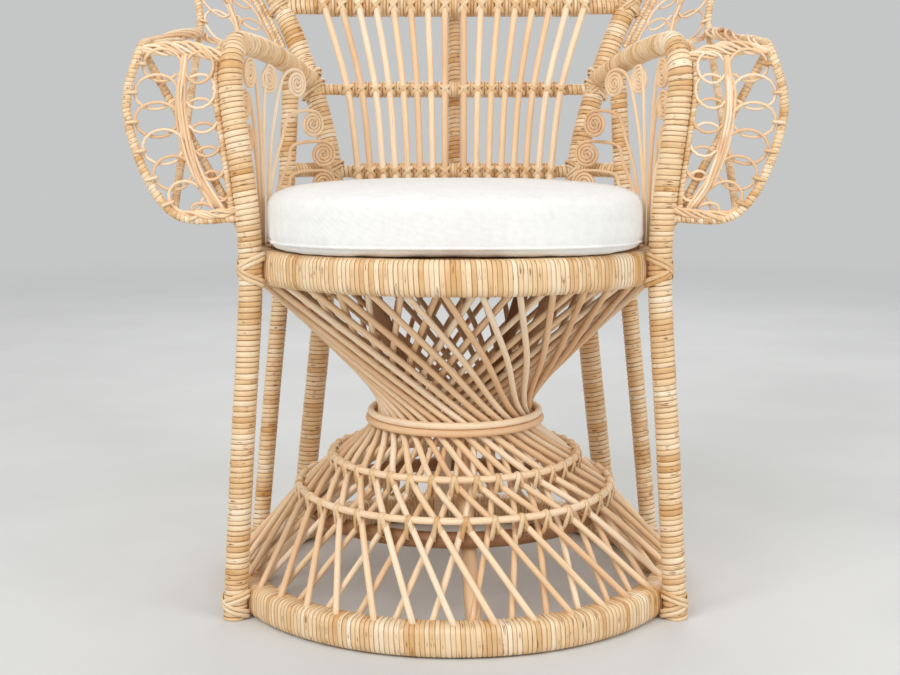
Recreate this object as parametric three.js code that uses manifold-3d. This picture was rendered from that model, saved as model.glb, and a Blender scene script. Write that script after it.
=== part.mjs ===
// A rattan peacock chair: an hourglass base of crossing canes between two wrapped rings, four wrapped
// poles that rise into the arms, a fan back on a leaning hoop, looped wings and scrolls, and a loose pad.
// Millimetres, +Z up. The sitter faces -Y, and left and right are as seen from the front.
import * as THREE from 'three';
import { mergeVertices } from 'three/addons/utils/BufferGeometryUtils.js';
import loadManifold from 'manifold-3d';

const wasm = await loadManifold();
wasm.setup();

// Fits
const CLEARANCE = 0.3;

// Base ring and seat ring, measured to their outer faces
const SEAT_HEIGHT = 420;
const SEAT_RING_RADIUS = 254;
const SEAT_RING_WIDTH = 30;
const SEAT_RING_HEIGHT = 40;
const BASE_RING_RADIUS = 278;
const BASE_RING_WIDTH = 32;
const BASE_RING_HEIGHT = 36;
const RING_CORNER = 8;
const DECK_THICKNESS = 6;
const BEARER_RADIUS = 9;
const BEARER_SPREAD = 60;

// Hourglass weave: heights and cane-centre radii of the outer layer, turns in degrees
const WEAVE_CANES = 32;
const WEAVE_CANE_RADIUS = 3.7;
const WEAVE_LAYER_GAP = 2.4;
const WEAVE_TOP_RADIUS = 244;
const SHOULDER_HEIGHT = 302;
const SHOULDER_RADIUS = 163;
const SHOULDER_INSET_SHARE = 1.2;
const WAIST_HEIGHT = 210;
const WAIST_RADIUS = 92;
const UPPER_HOOP_HEIGHT = 157;
const UPPER_HOOP_RADIUS = 147;
const LOWER_HOOP_HEIGHT = 121;
const LOWER_HOOP_RADIUS = 188;
const WEAVE_FOOT_RADIUS = 268;
const SEAT_TO_SHOULDER_TURN = 15;
const SHOULDER_TO_WAIST_TURN = 35;
const OUTER_SKIRT_TURN = 42;
const INNER_SKIRT_TURN = 27;
const UPPER_HOOP_TURN = 0.43;
const LOWER_HOOP_TURN = 0.64;
const HOOP_CANE_RADIUS = 4.2;
const WAIST_CANE_RADIUS = 5;

// Posts inside the hourglass
const INNER_POSTS = 4;
const INNER_POST_RADIUS = 9;
const INNER_RING_CANE_RADIUS = 8;
const INNER_RING_HEIGHT = 100;
const FIRST_POST_ANGLE = 5;
const INNER_POLE_HEAD_RADIUS = 177;

// Poles: distance of the pole's axis from the ring is its own radius and the clearance
const ARM_POLE_RADIUS = 14;
const ARM_POLE_ANGLE = 60;
const SIDE_POLE_RADIUS = 11.5;
const SIDE_POLE_FOOT_ANGLE = 115;
const SIDE_POLE_SEAT_ANGLE = 121;
const HOOP_RADIUS = 14.5;
const REAR_LEG_FOOT_ANGLE = 133;
const REAR_LEG_SEAT_ANGLE = 139.5;
const POLE_SEAT = 1.2;
const POLE_OVERRUN = 27;

// Arms
const ARM_WAIST_HEIGHT = 474;
const ARM_WAIST_X = 235;
const ARM_SWELL_HEIGHT = 600;
const ARM_SWELL_X = 251;
const ARM_TOP_HEIGHT = 656;
const ARM_FRONT_Y = -128;
const ARM_SAG = 5;
const ARM_REAR_HEIGHT = 630;
const ARM_BEND_STATIONS = [
  { inward: 0, back: 5, down: 26 },
  { inward: 2, back: 31, down: 3 },
  { inward: 8, back: 68, down: 0 },
];
const SIDE_POLE_TOP_Y = 146;
const SIDE_RAIL_HEIGHT = 505;
const SIDE_RAIL_RADIUS = 10;

// Back hoop: half widths at their heights, and the lean of the back in degrees
const BACK_LEAN = 12;
const HOOP_NECK_HEIGHT = 509;
const HOOP_NECK_X = 170;
const HOOP_FLARE_HEIGHT = 682;
const HOOP_FLARE_X = 221;
const HOOP_SHOULDER_HEIGHT = 850;
const HOOP_SHOULDER_X = 303;
const HOOP_WIDEST_HEIGHT = 1050;
const HOOP_WIDEST_X = 347;
const HOOP_TOP_HEIGHT = 1330;

// Rails and spindles of the back
const LOWER_RAIL_HEIGHT = 502;
const LOWER_RAIL_RADIUS = 8.5;
const MIDDLE_RAIL_HEIGHT = 615;
const MIDDLE_RAIL_RADIUS = 7;
const UPPER_RAIL_HEIGHT = 731;
const UPPER_RAIL_RADIUS = 11;
const CENTRE_POST_RADIUS = 9;
const SPINDLES_PER_SIDE = 8;
const SPINDLE_RADIUS = 4.5;
const SPINDLE_INSET = 11;
const SPINDLE_FOOT_PITCH = 15.5;
const SPINDLE_LOWER_PITCH = 17.2;
const SPINDLE_MIDDLE_PITCH = 19.4;
const SPINDLE_UPPER_PITCH = 24;
const SPINDLE_PROUD = 20;
const FOOT_TRIM = 0.05;
const SUNRAY_CANES = 23;
const SUNRAY_RADIUS = 3;
const SUNRAY_PITCH = 13;
const SUNRAY_LOWEST = 0.368;

// Fan outside the hoop
const FAN_RIM_RADIUS = 5.3;
const FAN_BASE_HEIGHT = 692;
const FAN_BASE_X = 355;
const FAN_THROAT_HEIGHT = 740;
const FAN_THROAT_X = 360;
const FAN_SHOULDER_HEIGHT = 880;
const FAN_SHOULDER_X = 438;
const FAN_WIDEST_HEIGHT = 1080;
const FAN_WIDEST_X = 524;
const FAN_BAND_HEIGHT = 125;
const FAN_TOP_HEIGHT = HOOP_TOP_HEIGHT + FAN_BAND_HEIGHT;
const FAN_LOOPS = 22;
const FAN_BORDER_RADIUS = 5;
const FAN_BORDER_GAP = 1.7;
const LOOP_CANE_RADIUS = 2.1;
const LOOP_REACH = 0.7;
const LOOP_BELLY = 0.92;
const LOOP_RISE = 0.45;
const LOOP_CROWN = { belly: 0.7, rise: 0.86 };
const LOOP_STEPS = 7;

// Wings in front of the arms
const WING_RIM_RADIUS = 5.2;
const WING_FRONT_Y = -136;
const WING_FOOT_HEIGHT = 463;
const WING_FOOT_X = 316;
const WING_WIDEST_HEIGHT = 575;
const WING_WIDEST_X = 366;
const WING_TOP_HEIGHT = 644;
const WING_TOP_X = 350;
const WING_EDGE_START = 0.18;
const WING_CREST = { share: 0.15, rise: 14 };
const WING_TAIL_SHARE = 0.4;
const WING_HEAD_DROP = 12;
const WING_LOOPS = 6;
const WING_SPINE_RADIUS = 3.6;
const WING_SPINE_SHARE = 0.42;
const WING_STRUT_RADIUS = 5;
const WING_BRACE_FOOT_HEIGHT = 436;

// Scrolls inside the arms: coil centres as distance back from the chair's axis, and height
const SCROLL_CANE_RADIUS = 2.2;
const SCROLL_COIL_RADIUS = 15;
const SCROLL_COIL_TURNS = 2.15;
const SCROLL_COIL_PITCH = 5.3;
const SCROLL_STEM_PITCH = 2.9;
const SCROLL_STEM_SWEEP = 0.6;
const SCROLL_FOOT_Y = -40;
const SCROLL_FRONT = { x: 245, y: -110 };
const SCROLL_REAR = { x: 183, y: 175 };
const FRONT_COILS = [[-86, 506], [-90, 545], [-90, 584], [-80, 621]];
const REAR_COILS = [[-18, 617], [70, 616], [132, 566], [166, 526], [172, 487]];

// Loose seat pad
const PAD_HALF_WIDTH = 214;
const PAD_HALF_DEPTH = 208;
const PAD_CENTRE_Y = -32;
const PAD_HEIGHT = 66;
const PAD_CROWN = 13;
const PAD_SQUARENESS = 2.6;

// Faceting
const RING_FACETS = 30;
const PAD_FACETS = 30;
const POLE_SIDES = 8;
const CANE_SIDES = 4;
const COIL_STEPS_PER_TURN = 7;
const STEM_STEPS = 4;
const WING_STEPS = 25;
const BORDER_STEPS = 30;
const RIM_SIDES = 6;
const FINE_SIDES = 3;
const HOOP_STEPS = 37;
const ARM_STEPS = 25;
const SPINE_STEPS = 8;
const PATH_SAMPLES = 400;
const COIL_SAMPLES = 240;
const HALVINGS = 14;
const BLOCK = 3000;

const PEELED = { color: '#e3c293', roughness: 0.55, metalness: 0 };
const WRAPPED = { color: '#c99a5f', roughness: 0.5, metalness: 0 };
const BROWN = { color: '#7b4a2b', roughness: 0.6, metalness: 0 };
const CANVAS = { color: '#efede8', roughness: 0.9, metalness: 0 };

const chair = new THREE.Group();
const point = (x, y, z) => new THREE.Vector3(x, y, z);
const radians = THREE.MathUtils.degToRad;
const clamp = (share) => THREE.MathUtils.clamp(share, 0, 1);
const SIDES = [{ name: 'left', sign: -1 }, { name: 'right', sign: 1 }];

// A path given by a formula or by stations, stepped at equal shares of its parameter.
class Route extends THREE.Curve {
  constructor(formula) {
    super();
    this.formula = formula;
  }

  getPoint(share) {
    return this.formula(clamp(share));
  }

  getPointAt(share) {
    return this.getPoint(share);
  }

  getTangentAt(share) {
    return this.getTangent(share);
  }
}

function throughStations(stations) {
  const spans = stations.length - 1;
  return new Route((share) => {
    const first = Math.min(Math.floor(share * spans), spans - 1);
    return stations[first].clone().lerp(stations[first + 1], share * spans - first);
  });
}

const smooth = (points) => new THREE.CatmullRomCurve3(points);

// Closed solids and their cuts
function solidOf(geometry) {
  geometry.deleteAttribute('normal');
  geometry.deleteAttribute('uv');
  const merged = mergeVertices(geometry, 1e-3);
  const corners = merged.index.array;
  const triangles = [];
  for (let i = 0; i < corners.length; i += 3) {
    const [a, b, c] = corners.subarray(i, i + 3);
    if (a !== b && b !== c && c !== a) triangles.push([a, b, c]);
  }
  const build = (faces) => new wasm.Manifold(new wasm.Mesh({
    numProp: 3,
    vertProperties: new Float32Array(merged.attributes.position.array),
    triVerts: new Uint32Array(faces.flat()),
  }));
  const solid = build(triangles);
  return solid.volume() > 0 ? solid : build(triangles.map(([a, b, c]) => [a, c, b]));
}

const joined = (solids) => solids.reduce((whole, solid) => whole.add(solid));
const cut = (solid, ...cutters) => cutters.reduce((rest, cutter) => rest.subtract(cutter), solid);

function sweep(path, radius, steps, sides) {
  const corners = Array.from({ length: sides }, (_, i) => {
    const angle = (2 * Math.PI * i) / sides;
    return new THREE.Vector2(radius * Math.cos(angle), radius * Math.sin(angle));
  });
  return new THREE.ExtrudeGeometry(new THREE.Shape(corners), {
    steps,
    curveSegments: 1,
    bevelEnabled: false,
    extrudePath: path,
  });
}

function tube(path, radius, steps, sides = POLE_SIDES) {
  return solidOf(sweep(path, radius, steps, sides));
}

function turned(profile, facets = RING_FACETS, turn = 0) {
  return solidOf(new THREE.LatheGeometry(profile, facets).rotateX(Math.PI / 2).rotateZ(radians(turn)));
}

// A hoop with one facet for each cane of the weave, whose corners fall between the canes
function hoop(radius, height, caneRadius, caneTurn) {
  const profile = [0, 1, 2, 3, 0].map((quarter) => new THREE.Vector2(
    radius + caneRadius * Math.cos(quarter * Math.PI / 2),
    height + caneRadius * Math.sin(quarter * Math.PI / 2),
  ));
  return turned(profile, WEAVE_CANES, caneTurn + 180 / WEAVE_CANES);
}

function bandProfile(inner, outer, low, high, corner) {
  const outline = [
    [inner + corner, low], [outer - corner, low], [outer, low + corner], [outer, high - corner],
    [outer - corner, high], [inner + corner, high], [inner, high - corner], [inner, low + corner],
  ];
  return [...outline, outline[0]].map(([radius, height]) => new THREE.Vector2(radius, height));
}

// Closes in from the far value until the piece lies one clearance from its neighbour, and gives that value
function pulledTight(make, neighbour, far, near) {
  let clear = far;
  let touching = near;
  for (let halving = 0; halving < HALVINGS; halving += 1) {
    const middle = (clear + touching) / 2;
    if (make(middle).minGap(neighbour, 4 * CLEARANCE) < CLEARANCE) touching = middle;
    else clear = middle;
  }
  return clear;
}

function place(name, solid, finish) {
  const { vertProperties, triVerts } = solid.getMesh();
  const geometry = new THREE.BufferGeometry();
  geometry.setAttribute('position', new THREE.BufferAttribute(vertProperties, 3));
  geometry.setIndex(new THREE.BufferAttribute(triVerts, 1));
  geometry.computeVertexNormals();
  const mesh = new THREE.Mesh(geometry, new THREE.MeshStandardMaterial(finish));
  mesh.name = name;
  chair.add(mesh);
}

// Level cuts
const level = (middle) => solidOf(new THREE.BoxGeometry(BLOCK, BLOCK, BLOCK).translate(0, 0, middle));
const below = (height) => level(height - BLOCK / 2);
const above = (height) => level(height + BLOCK / 2);
const onFloor = (solid) => cut(solid, below(0));

// Shared places
const seatRingBottom = SEAT_HEIGHT - SEAT_RING_HEIGHT;
const seatRingInner = SEAT_RING_RADIUS - SEAT_RING_WIDTH;
const baseRingInner = BASE_RING_RADIUS - BASE_RING_WIDTH;
const deckBottom = SEAT_HEIGHT - DECK_THICKNESS;
const backSlope = Math.tan(radians(BACK_LEAN));

// A point at an angle from the front, round to the side given by the sign
function polar(sign, angle, radius, height) {
  return point(sign * radius * Math.sin(radians(angle)), -radius * Math.cos(radians(angle)), height);
}

const ringMid = { base: BASE_RING_HEIGHT / 2, seat: SEAT_HEIGHT - SEAT_RING_HEIGHT / 2 };
const besideBase = (radius) => BASE_RING_RADIUS + radius - POLE_SEAT;
const besideSeat = (radius) => SEAT_RING_RADIUS + radius - POLE_SEAT;
const rearSeat = polar(1, REAR_LEG_SEAT_ANGLE, besideSeat(HOOP_RADIUS), SEAT_HEIGHT);
const backY = (height) => rearSeat.y + backSlope * (height - SEAT_HEIGHT);
const onBack = (x, height) => point(x, backY(height), height);

// The straight part of a pole, from below the floor up past both rings
function poleFoot(sign, radius, footAngle, seatAngle) {
  const low = polar(sign, footAngle, besideBase(radius), ringMid.base);
  const high = polar(sign, seatAngle, besideSeat(radius), ringMid.seat);
  const foot = low.clone().lerp(high, -POLE_OVERRUN / (ringMid.seat - ringMid.base));
  return [foot, high];
}

// Pole paths, shared by the poles and by the cuts that seat their neighbours
function archPoints(widestX, widestHeight, topHeight) {
  const quarter = [30, 60, 90].map(radians);
  return quarter.map((angle) => onBack(
    widestX * Math.cos(angle),
    widestHeight + (topHeight - widestHeight) * Math.sin(angle),
  ));
}

function bothSides(rightHalf) {
  const leftHalf = rightHalf.slice(0, -1).reverse();
  return [...rightHalf, ...leftHalf.map(({ x, y, z }) => point(-x, y, z))];
}

const rearLeg = poleFoot(1, HOOP_RADIUS, REAR_LEG_FOOT_ANGLE, REAR_LEG_SEAT_ANGLE);
const upperHoopHalf = [
  onBack(HOOP_FLARE_X, HOOP_FLARE_HEIGHT),
  onBack(HOOP_SHOULDER_X, HOOP_SHOULDER_HEIGHT),
  onBack(HOOP_WIDEST_X, HOOP_WIDEST_HEIGHT),
  ...archPoints(HOOP_WIDEST_X, HOOP_WIDEST_HEIGHT, HOOP_TOP_HEIGHT),
];
const hoopPath = smooth(bothSides([
  ...rearLeg, onBack(HOOP_NECK_X, HOOP_NECK_HEIGHT), ...upperHoopHalf,
]));
const hoopTube = (spare) => tube(hoopPath, HOOP_RADIUS + spare, HOOP_STEPS);

// Half width of the hoop at a height below its widest part
function hoopX(height) {
  const samples = hoopPath.getPoints(PATH_SAMPLES).slice(0, PATH_SAMPLES / 2);
  const above = samples.findIndex((sample) => sample.z >= height);
  const [low, high] = [samples[above - 1], samples[above]];
  return low.x + (high.x - low.x) * (height - low.z) / (high.z - low.z);
}

const armEnd = onBack(hoopX(ARM_REAR_HEIGHT), ARM_REAR_HEIGHT);
const armPaths = SIDES.map(({ sign }) => {
  const [foot, seat] = poleFoot(sign, ARM_POLE_RADIUS, ARM_POLE_ANGLE, ARM_POLE_ANGLE);
  return smooth([
    foot,
    foot.clone().lerp(seat, 0.5),
    seat,
    point(sign * ARM_WAIST_X, seat.y, ARM_WAIST_HEIGHT),
    point(sign * ARM_SWELL_X, ARM_FRONT_Y, ARM_SWELL_HEIGHT),
    ...ARM_BEND_STATIONS.map(({ inward, back, down }) => (
      point(sign * (ARM_SWELL_X - inward), ARM_FRONT_Y + back, ARM_TOP_HEIGHT - down)
    )),
    point(sign * (ARM_SWELL_X + armEnd.x) / 2, (ARM_FRONT_Y + armEnd.y) / 2, ARM_TOP_HEIGHT - ARM_SAG),
    point(sign * armEnd.x, armEnd.y - HOOP_RADIUS / 2, ARM_REAR_HEIGHT),
  ]);
});
const armTube = (index, spare) => tube(armPaths[index], ARM_POLE_RADIUS + spare, ARM_STEPS);

// Where an arm's post reaches a height, and where its rail passes a distance back from the chair's axis
function armAt(index, height) {
  return armPaths[index].getPoints(PATH_SAMPLES).find((sample) => sample.z >= height);
}

function railPoint(index, y) {
  const rail = armPaths[index].getPoints(PATH_SAMPLES).slice(PATH_SAMPLES / 2);
  return rail.find((sample) => sample.y >= y);
}

const sidePoles = SIDES.map(({ sign }, index) => {
  const [foot, seat] = poleFoot(sign, SIDE_POLE_RADIUS, SIDE_POLE_FOOT_ANGLE, SIDE_POLE_SEAT_ANGLE);
  const top = railPoint(index, SIDE_POLE_TOP_Y);
  return throughStations([foot, seat, top]);
});
const sidePoleTube = (index, spare) => tube(sidePoles[index], SIDE_POLE_RADIUS + spare, 2);

const hoopCutter = hoopTube(CLEARANCE);
const armCutters = SIDES.map((_, index) => armTube(index, CLEARANCE));
const sidePoleCutters = SIDES.map((_, index) => sidePoleTube(index, CLEARANCE));
const poleCutters = [hoopCutter, ...armCutters, ...sidePoleCutters];

// Rings, with a shallow hollow where each pole is lashed against them
function band(inner, outer, low, high, spare, caneTurn) {
  const profile = bandProfile(inner - spare, outer + spare, low - spare, high + spare, RING_CORNER);
  return turned(profile, WEAVE_CANES, caneTurn + 180 / WEAVE_CANES);
}

const baseBand = (spare) => band(
  baseRingInner, BASE_RING_RADIUS, 0, BASE_RING_HEIGHT, spare, -INNER_SKIRT_TURN,
);
const seatBand = (spare) => band(
  seatRingInner, SEAT_RING_RADIUS, seatRingBottom, SEAT_HEIGHT, spare,
  -SEAT_TO_SHOULDER_TURN - SHOULDER_TO_WAIST_TURN,
);
const baseCutter = baseBand(CLEARANCE);
const seatCutter = seatBand(CLEARANCE);

function addPoles() {
  place('back_hoop', onFloor(hoopTube(0)), WRAPPED);
  SIDES.forEach(({ name }, index) => {
    place(`${name}_arm_pole`, cut(onFloor(armTube(index, 0)), hoopCutter), WRAPPED);
    const sidePole = onFloor(sidePoleTube(index, 0));
    place(`${name}_side_pole`, cut(sidePole, armCutters[index]), WRAPPED);
  });
}

function addSideRails() {
  SIDES.forEach(({ name, sign }, index) => {
    const pole = sidePoles[index].getPoints(PATH_SAMPLES).find((sample) => sample.z >= SIDE_RAIL_HEIGHT);
    const post = onBack(sign * hoopX(SIDE_RAIL_HEIGHT), SIDE_RAIL_HEIGHT);
    const rail = tube(throughStations([pole, post]), SIDE_RAIL_RADIUS, 1);
    place(`${name}_side_rail`, cut(rail, hoopCutter, sidePoleCutters[index]), WRAPPED);
  });
}

// Hourglass weave: each layer's canes turn one way from the seat ring to the base ring
const layerStep = 2 * WEAVE_CANE_RADIUS + WEAVE_LAYER_GAP;
const skirtInset = layerStep * Math.SQRT2;
const weaveTop = seatRingBottom + WEAVE_CANE_RADIUS;
const weaveFoot = BASE_RING_HEIGHT - WEAVE_CANE_RADIUS;
const underSeat = above(seatRingBottom - CLEARANCE);
const overBase = below(BASE_RING_HEIGHT + CLEARANCE);

function weaveCanes(turnSign, skirtTurn, inset, skirt) {
  const levels = [
    [WEAVE_TOP_RADIUS - inset, weaveTop, -SEAT_TO_SHOULDER_TURN - SHOULDER_TO_WAIST_TURN],
    [SHOULDER_RADIUS - SHOULDER_INSET_SHARE * inset, SHOULDER_HEIGHT, -SHOULDER_TO_WAIST_TURN],
    [WAIST_RADIUS - inset, WAIST_HEIGHT, 0],
    [UPPER_HOOP_RADIUS - skirt, UPPER_HOOP_HEIGHT, UPPER_HOOP_TURN * skirtTurn],
    [LOWER_HOOP_RADIUS - skirt, LOWER_HOOP_HEIGHT, LOWER_HOOP_TURN * skirtTurn],
    [WEAVE_FOOT_RADIUS - skirt, weaveFoot, skirtTurn],
  ];
  const stations = levels.map(([radius, height, turn]) => polar(turnSign, turn, radius, height));
  const cane = sweep(throughStations(stations), WEAVE_CANE_RADIUS, stations.length - 1, CANE_SIDES);
  return Array.from({ length: WEAVE_CANES }, (_, i) => {
    const angle = (2 * Math.PI * i) / WEAVE_CANES;
    return solidOf(cane.clone().rotateZ(angle));
  });
}

const outerCanes = weaveCanes(1, OUTER_SKIRT_TURN, 0, 0);
const innerCanes = weaveCanes(-1, INNER_SKIRT_TURN, layerStep, skirtInset);

// The outer canes are nailed into the seat ring and stand on the base ring, the inner ones the other way
function addRings() {
  const seat = joined([seatBand(0), ...outerCanes]);
  const base = joined([baseBand(0), ...innerCanes]);
  place('seat_ring_weave', cut(seat, ...poleCutters, overBase), WRAPPED);
  place('base_ring_weave', cut(base, ...poleCutters, underSeat), WRAPPED);
}

const innerWaistHoop = (radius) => hoop(radius, WAIST_HEIGHT, HOOP_CANE_RADIUS, 0);
const innerWaistRadius = pulledTight(innerWaistHoop, innerCanes[0], WAIST_RADIUS / 2, WAIST_RADIUS);

// Two canes one above the other, with a groove between them
const WAIST_OUTLINE = [[0, 2], [-1, 1], [-1, -1], [0, -2], [1, -1], [0.5, 0], [1, 1], [0, 2]];

function addHoops() {
  const [oneCane] = outerCanes;
  const hoops = [
    ['upper_hoop', UPPER_HOOP_RADIUS, UPPER_HOOP_HEIGHT, UPPER_HOOP_TURN],
    ['lower_hoop', LOWER_HOOP_RADIUS, LOWER_HOOP_HEIGHT, LOWER_HOOP_TURN],
  ];
  hoops.forEach(([name, radius, height, turn]) => {
    const standing = (stand) => hoop(
      radius + stand,
      height + stand,
      HOOP_CANE_RADIUS,
      turn * OUTER_SKIRT_TURN,
    );
    place(name, standing(pulledTight(standing, oneCane, 4 * HOOP_CANE_RADIUS, 0)), PEELED);
  });
  place('inner_waist_hoop', innerWaistHoop(innerWaistRadius), PEELED);

  const waistPair = (stand) => turned(WAIST_OUTLINE.map(([across, up]) => new THREE.Vector2(
    WAIST_RADIUS + stand + across * WAIST_CANE_RADIUS,
    WAIST_HEIGHT + up * WAIST_CANE_RADIUS,
  )), WEAVE_CANES);
  place('waist_ring', waistPair(pulledTight(waistPair, oneCane, WAIST_RADIUS / 2, 0)), PEELED);
}

// Struts below the waist, poles above it, and the ring that stays the skirt from inside
function addInnerFrame() {
  const waistHoop = hoop(innerWaistRadius, WAIST_HEIGHT, HOOP_CANE_RADIUS + CLEARANCE, 0);
  const layersInside = layerStep + WEAVE_CANE_RADIUS + 2 * HOOP_CANE_RADIUS;
  const waistInside = WAIST_RADIUS - layersInside - INNER_POST_RADIUS;
  const strutFoot = baseRingInner - INNER_POST_RADIUS - CLEARANCE;
  const struts = [];
  for (let i = 0; i < INNER_POSTS; i += 1) {
    const angle = FIRST_POST_ANGLE + (360 * i) / INNER_POSTS;
    const strutPath = throughStations([
      polar(1, angle, strutFoot + 2 * INNER_POST_RADIUS, -INNER_POST_RADIUS),
      polar(1, angle, waistInside, WAIST_HEIGHT),
    ]);
    struts.push(tube(strutPath, INNER_POST_RADIUS + CLEARANCE, 1));
    const strut = onFloor(tube(strutPath, INNER_POST_RADIUS, 1));
    place(`inner_strut_${i + 1}`, cut(strut, waistHoop, baseCutter), PEELED);

    const poleAngle = angle + 180 / INNER_POSTS;
    const polePath = throughStations([
      polar(1, poleAngle, waistInside, WAIST_HEIGHT),
      polar(1, poleAngle, INNER_POLE_HEAD_RADIUS, SEAT_HEIGHT),
    ]);
    const deckSpace = turned([
      [0, deckBottom - CLEARANCE], [seatRingInner, deckBottom - CLEARANCE],
      [seatRingInner, 2 * SEAT_HEIGHT], [0, 2 * SEAT_HEIGHT],
    ].map(([radius, height]) => new THREE.Vector2(radius, height)));
    const pole = cut(tube(polePath, INNER_POST_RADIUS, 1), deckSpace, waistHoop);
    place(`inner_pole_${i + 1}`, pole, BROWN);
  }
  const stayRing = (radius) => hoop(radius, INNER_RING_HEIGHT, INNER_RING_CANE_RADIUS, 0);
  const radius = pulledTight(stayRing, innerCanes[0], WAIST_RADIUS, LOWER_HOOP_RADIUS);
  place('inner_ring', cut(stayRing(radius), ...struts), BROWN);
}

function addSeat() {
  const rim = seatRingInner - CLEARANCE;
  const deck = [[0, deckBottom], [rim, deckBottom], [rim, SEAT_HEIGHT], [0, SEAT_HEIGHT]];
  place('seat_deck', turned(deck.map(([r, z]) => new THREE.Vector2(r, z))), BROWN);
  [-1, 1].forEach((end, index) => {
    const height = deckBottom - CLEARANCE - BEARER_RADIUS;
    const y = end * BEARER_SPREAD;
    const path = throughStations([
      point(-seatRingInner, y, height),
      point(seatRingInner, y, height),
    ]);
    place(`seat_bearer_${index + 1}`, cut(tube(path, BEARER_RADIUS, 1), seatCutter), BROWN);
  });
}

// The pad's outline is a rounded square, its edge is drawn in above and below a bulging side.
// Shares of the half width and of the side's height, then of the half width and of the crown's rise.
const PAD_SIDE = [
  [0, 0], [0.55, 0], [0.93, 0], [0.985, 0.1], [1, 0.38], [0.995, 0.68], [0.965, 0.9], [0.9, 1],
];
const PAD_TOP = [[0.74, 0.45], [0.5, 0.8], [0.25, 0.95], [0, 1]];

function addPad() {
  const bottom = SEAT_HEIGHT + CLEARANCE;
  const profile = [
    ...PAD_SIDE.map(([across, up]) => new THREE.Vector2(across, up * PAD_HEIGHT)),
    ...PAD_TOP.map(([across, up]) => new THREE.Vector2(across, PAD_HEIGHT + up * PAD_CROWN)),
  ];
  const pad = new THREE.LatheGeometry(profile, PAD_FACETS).rotateX(Math.PI / 2);
  const positions = pad.attributes.position;
  for (let i = 0; i < positions.count; i += 1) {
    const [x, y, z] = [positions.getX(i), positions.getY(i), positions.getZ(i)];
    const angle = Math.atan2(y, x);
    const across = Math.abs(Math.cos(angle)) ** PAD_SQUARENESS;
    const along = Math.abs(Math.sin(angle)) ** PAD_SQUARENESS;
    const reach = (across + along) ** (-1 / PAD_SQUARENESS);
    positions.setXYZ(i, x * reach * PAD_HALF_WIDTH, PAD_CENTRE_Y + y * reach * PAD_HALF_DEPTH, bottom + z);
  }
  place('cushion', solidOf(pad), CANVAS);
}

// Back rails lie in the plane of the hoop, the spindles before them and the centre post behind them
const rails = [
  { height: LOWER_RAIL_HEIGHT, radius: LOWER_RAIL_RADIUS, pitch: SPINDLE_LOWER_PITCH },
  { height: MIDDLE_RAIL_HEIGHT, radius: MIDDLE_RAIL_RADIUS, pitch: SPINDLE_MIDDLE_PITCH },
  { height: UPPER_RAIL_HEIGHT, radius: UPPER_RAIL_RADIUS, pitch: SPINDLE_UPPER_PITCH },
];

function railTube({ height, radius }) {
  const x = hoopX(height);
  return tube(throughStations([onBack(-x, height), onBack(x, height)]), radius, 1);
}

function addBack() {
  const [lower, middle, upper] = rails;
  place('lower_back_rail', cut(railTube(lower), hoopCutter), WRAPPED);
  place('middle_back_rail', cut(railTube(middle), hoopCutter), WRAPPED);

  const sunrays = Array.from({ length: SUNRAY_CANES }, (_, i) => {
    const share = i / (SUNRAY_CANES - 1);
    const foot = onBack(SUNRAY_PITCH * (SUNRAY_CANES - 1) * (0.5 - share), upper.height);
    const hoopShare = SUNRAY_LOWEST + (1 - 2 * SUNRAY_LOWEST) * share;
    const head = hoopPath.getPointAt(hoopShare);
    const ray = head.clone().sub(foot);
    const slant = ray.clone().normalize().cross(hoopPath.getTangentAt(hoopShare)).length();
    const end = head.addScaledVector(ray, -(HOOP_RADIUS + 2 * SUNRAY_RADIUS) / slant / ray.length());
    return tube(throughStations([foot, end]), SUNRAY_RADIUS, 1, CANE_SIDES);
  });
  place('upper_back_rail', joined([cut(railTube(upper), hoopCutter), ...sunrays]), WRAPPED);

  const behind = ({ height, radius }) => {
    const away = (radius + CENTRE_POST_RADIUS + CLEARANCE) / Math.cos(radians(BACK_LEAN));
    return point(0, backY(height) + away, height);
  };
  const ringTop = point(0, SEAT_RING_RADIUS - SEAT_RING_WIDTH / 2, SEAT_HEIGHT + CLEARANCE);
  const hoopTop = behind({ height: HOOP_TOP_HEIGHT, radius: HOOP_RADIUS });
  const postPath = throughStations([ringTop, ...rails.map(behind), hoopTop]);
  const post = cut(tube(postPath, CENTRE_POST_RADIUS, 4), seatCutter);
  place('centre_post', post, WRAPPED);
}

function addSpindles() {
  const before = ({ height, radius, pitch }, rank) => {
    const away = (radius + SPINDLE_RADIUS + CLEARANCE) / Math.cos(radians(BACK_LEAN));
    return (sign) => point(sign * (SPINDLE_INSET + pitch * rank), backY(height) - away, height);
  };
  const [lower] = rails;
  const foot = { height: SEAT_HEIGHT + CLEARANCE, radius: lower.radius, pitch: SPINDLE_FOOT_PITCH };
  SIDES.forEach(({ name, sign }) => {
    for (let rank = 0; rank < SPINDLES_PER_SIDE; rank += 1) {
      const stations = [foot, ...rails].map((rail) => before(rail, rank)(sign));
      stations[0].lerp(stations[1], -FOOT_TRIM);
      const [middle, upper] = stations.slice(-2);
      const proud = SPINDLE_PROUD / upper.distanceTo(middle);
      stations[stations.length - 1] = middle.clone().lerp(upper, 1 + proud);
      const spindle = tube(throughStations(stations), SPINDLE_RADIUS, stations.length - 1, CANE_SIDES);
      place(`${name}_spindle_${rank + 1}`, cut(spindle, below(foot.height)), PEELED);
    }
  });
}

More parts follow.
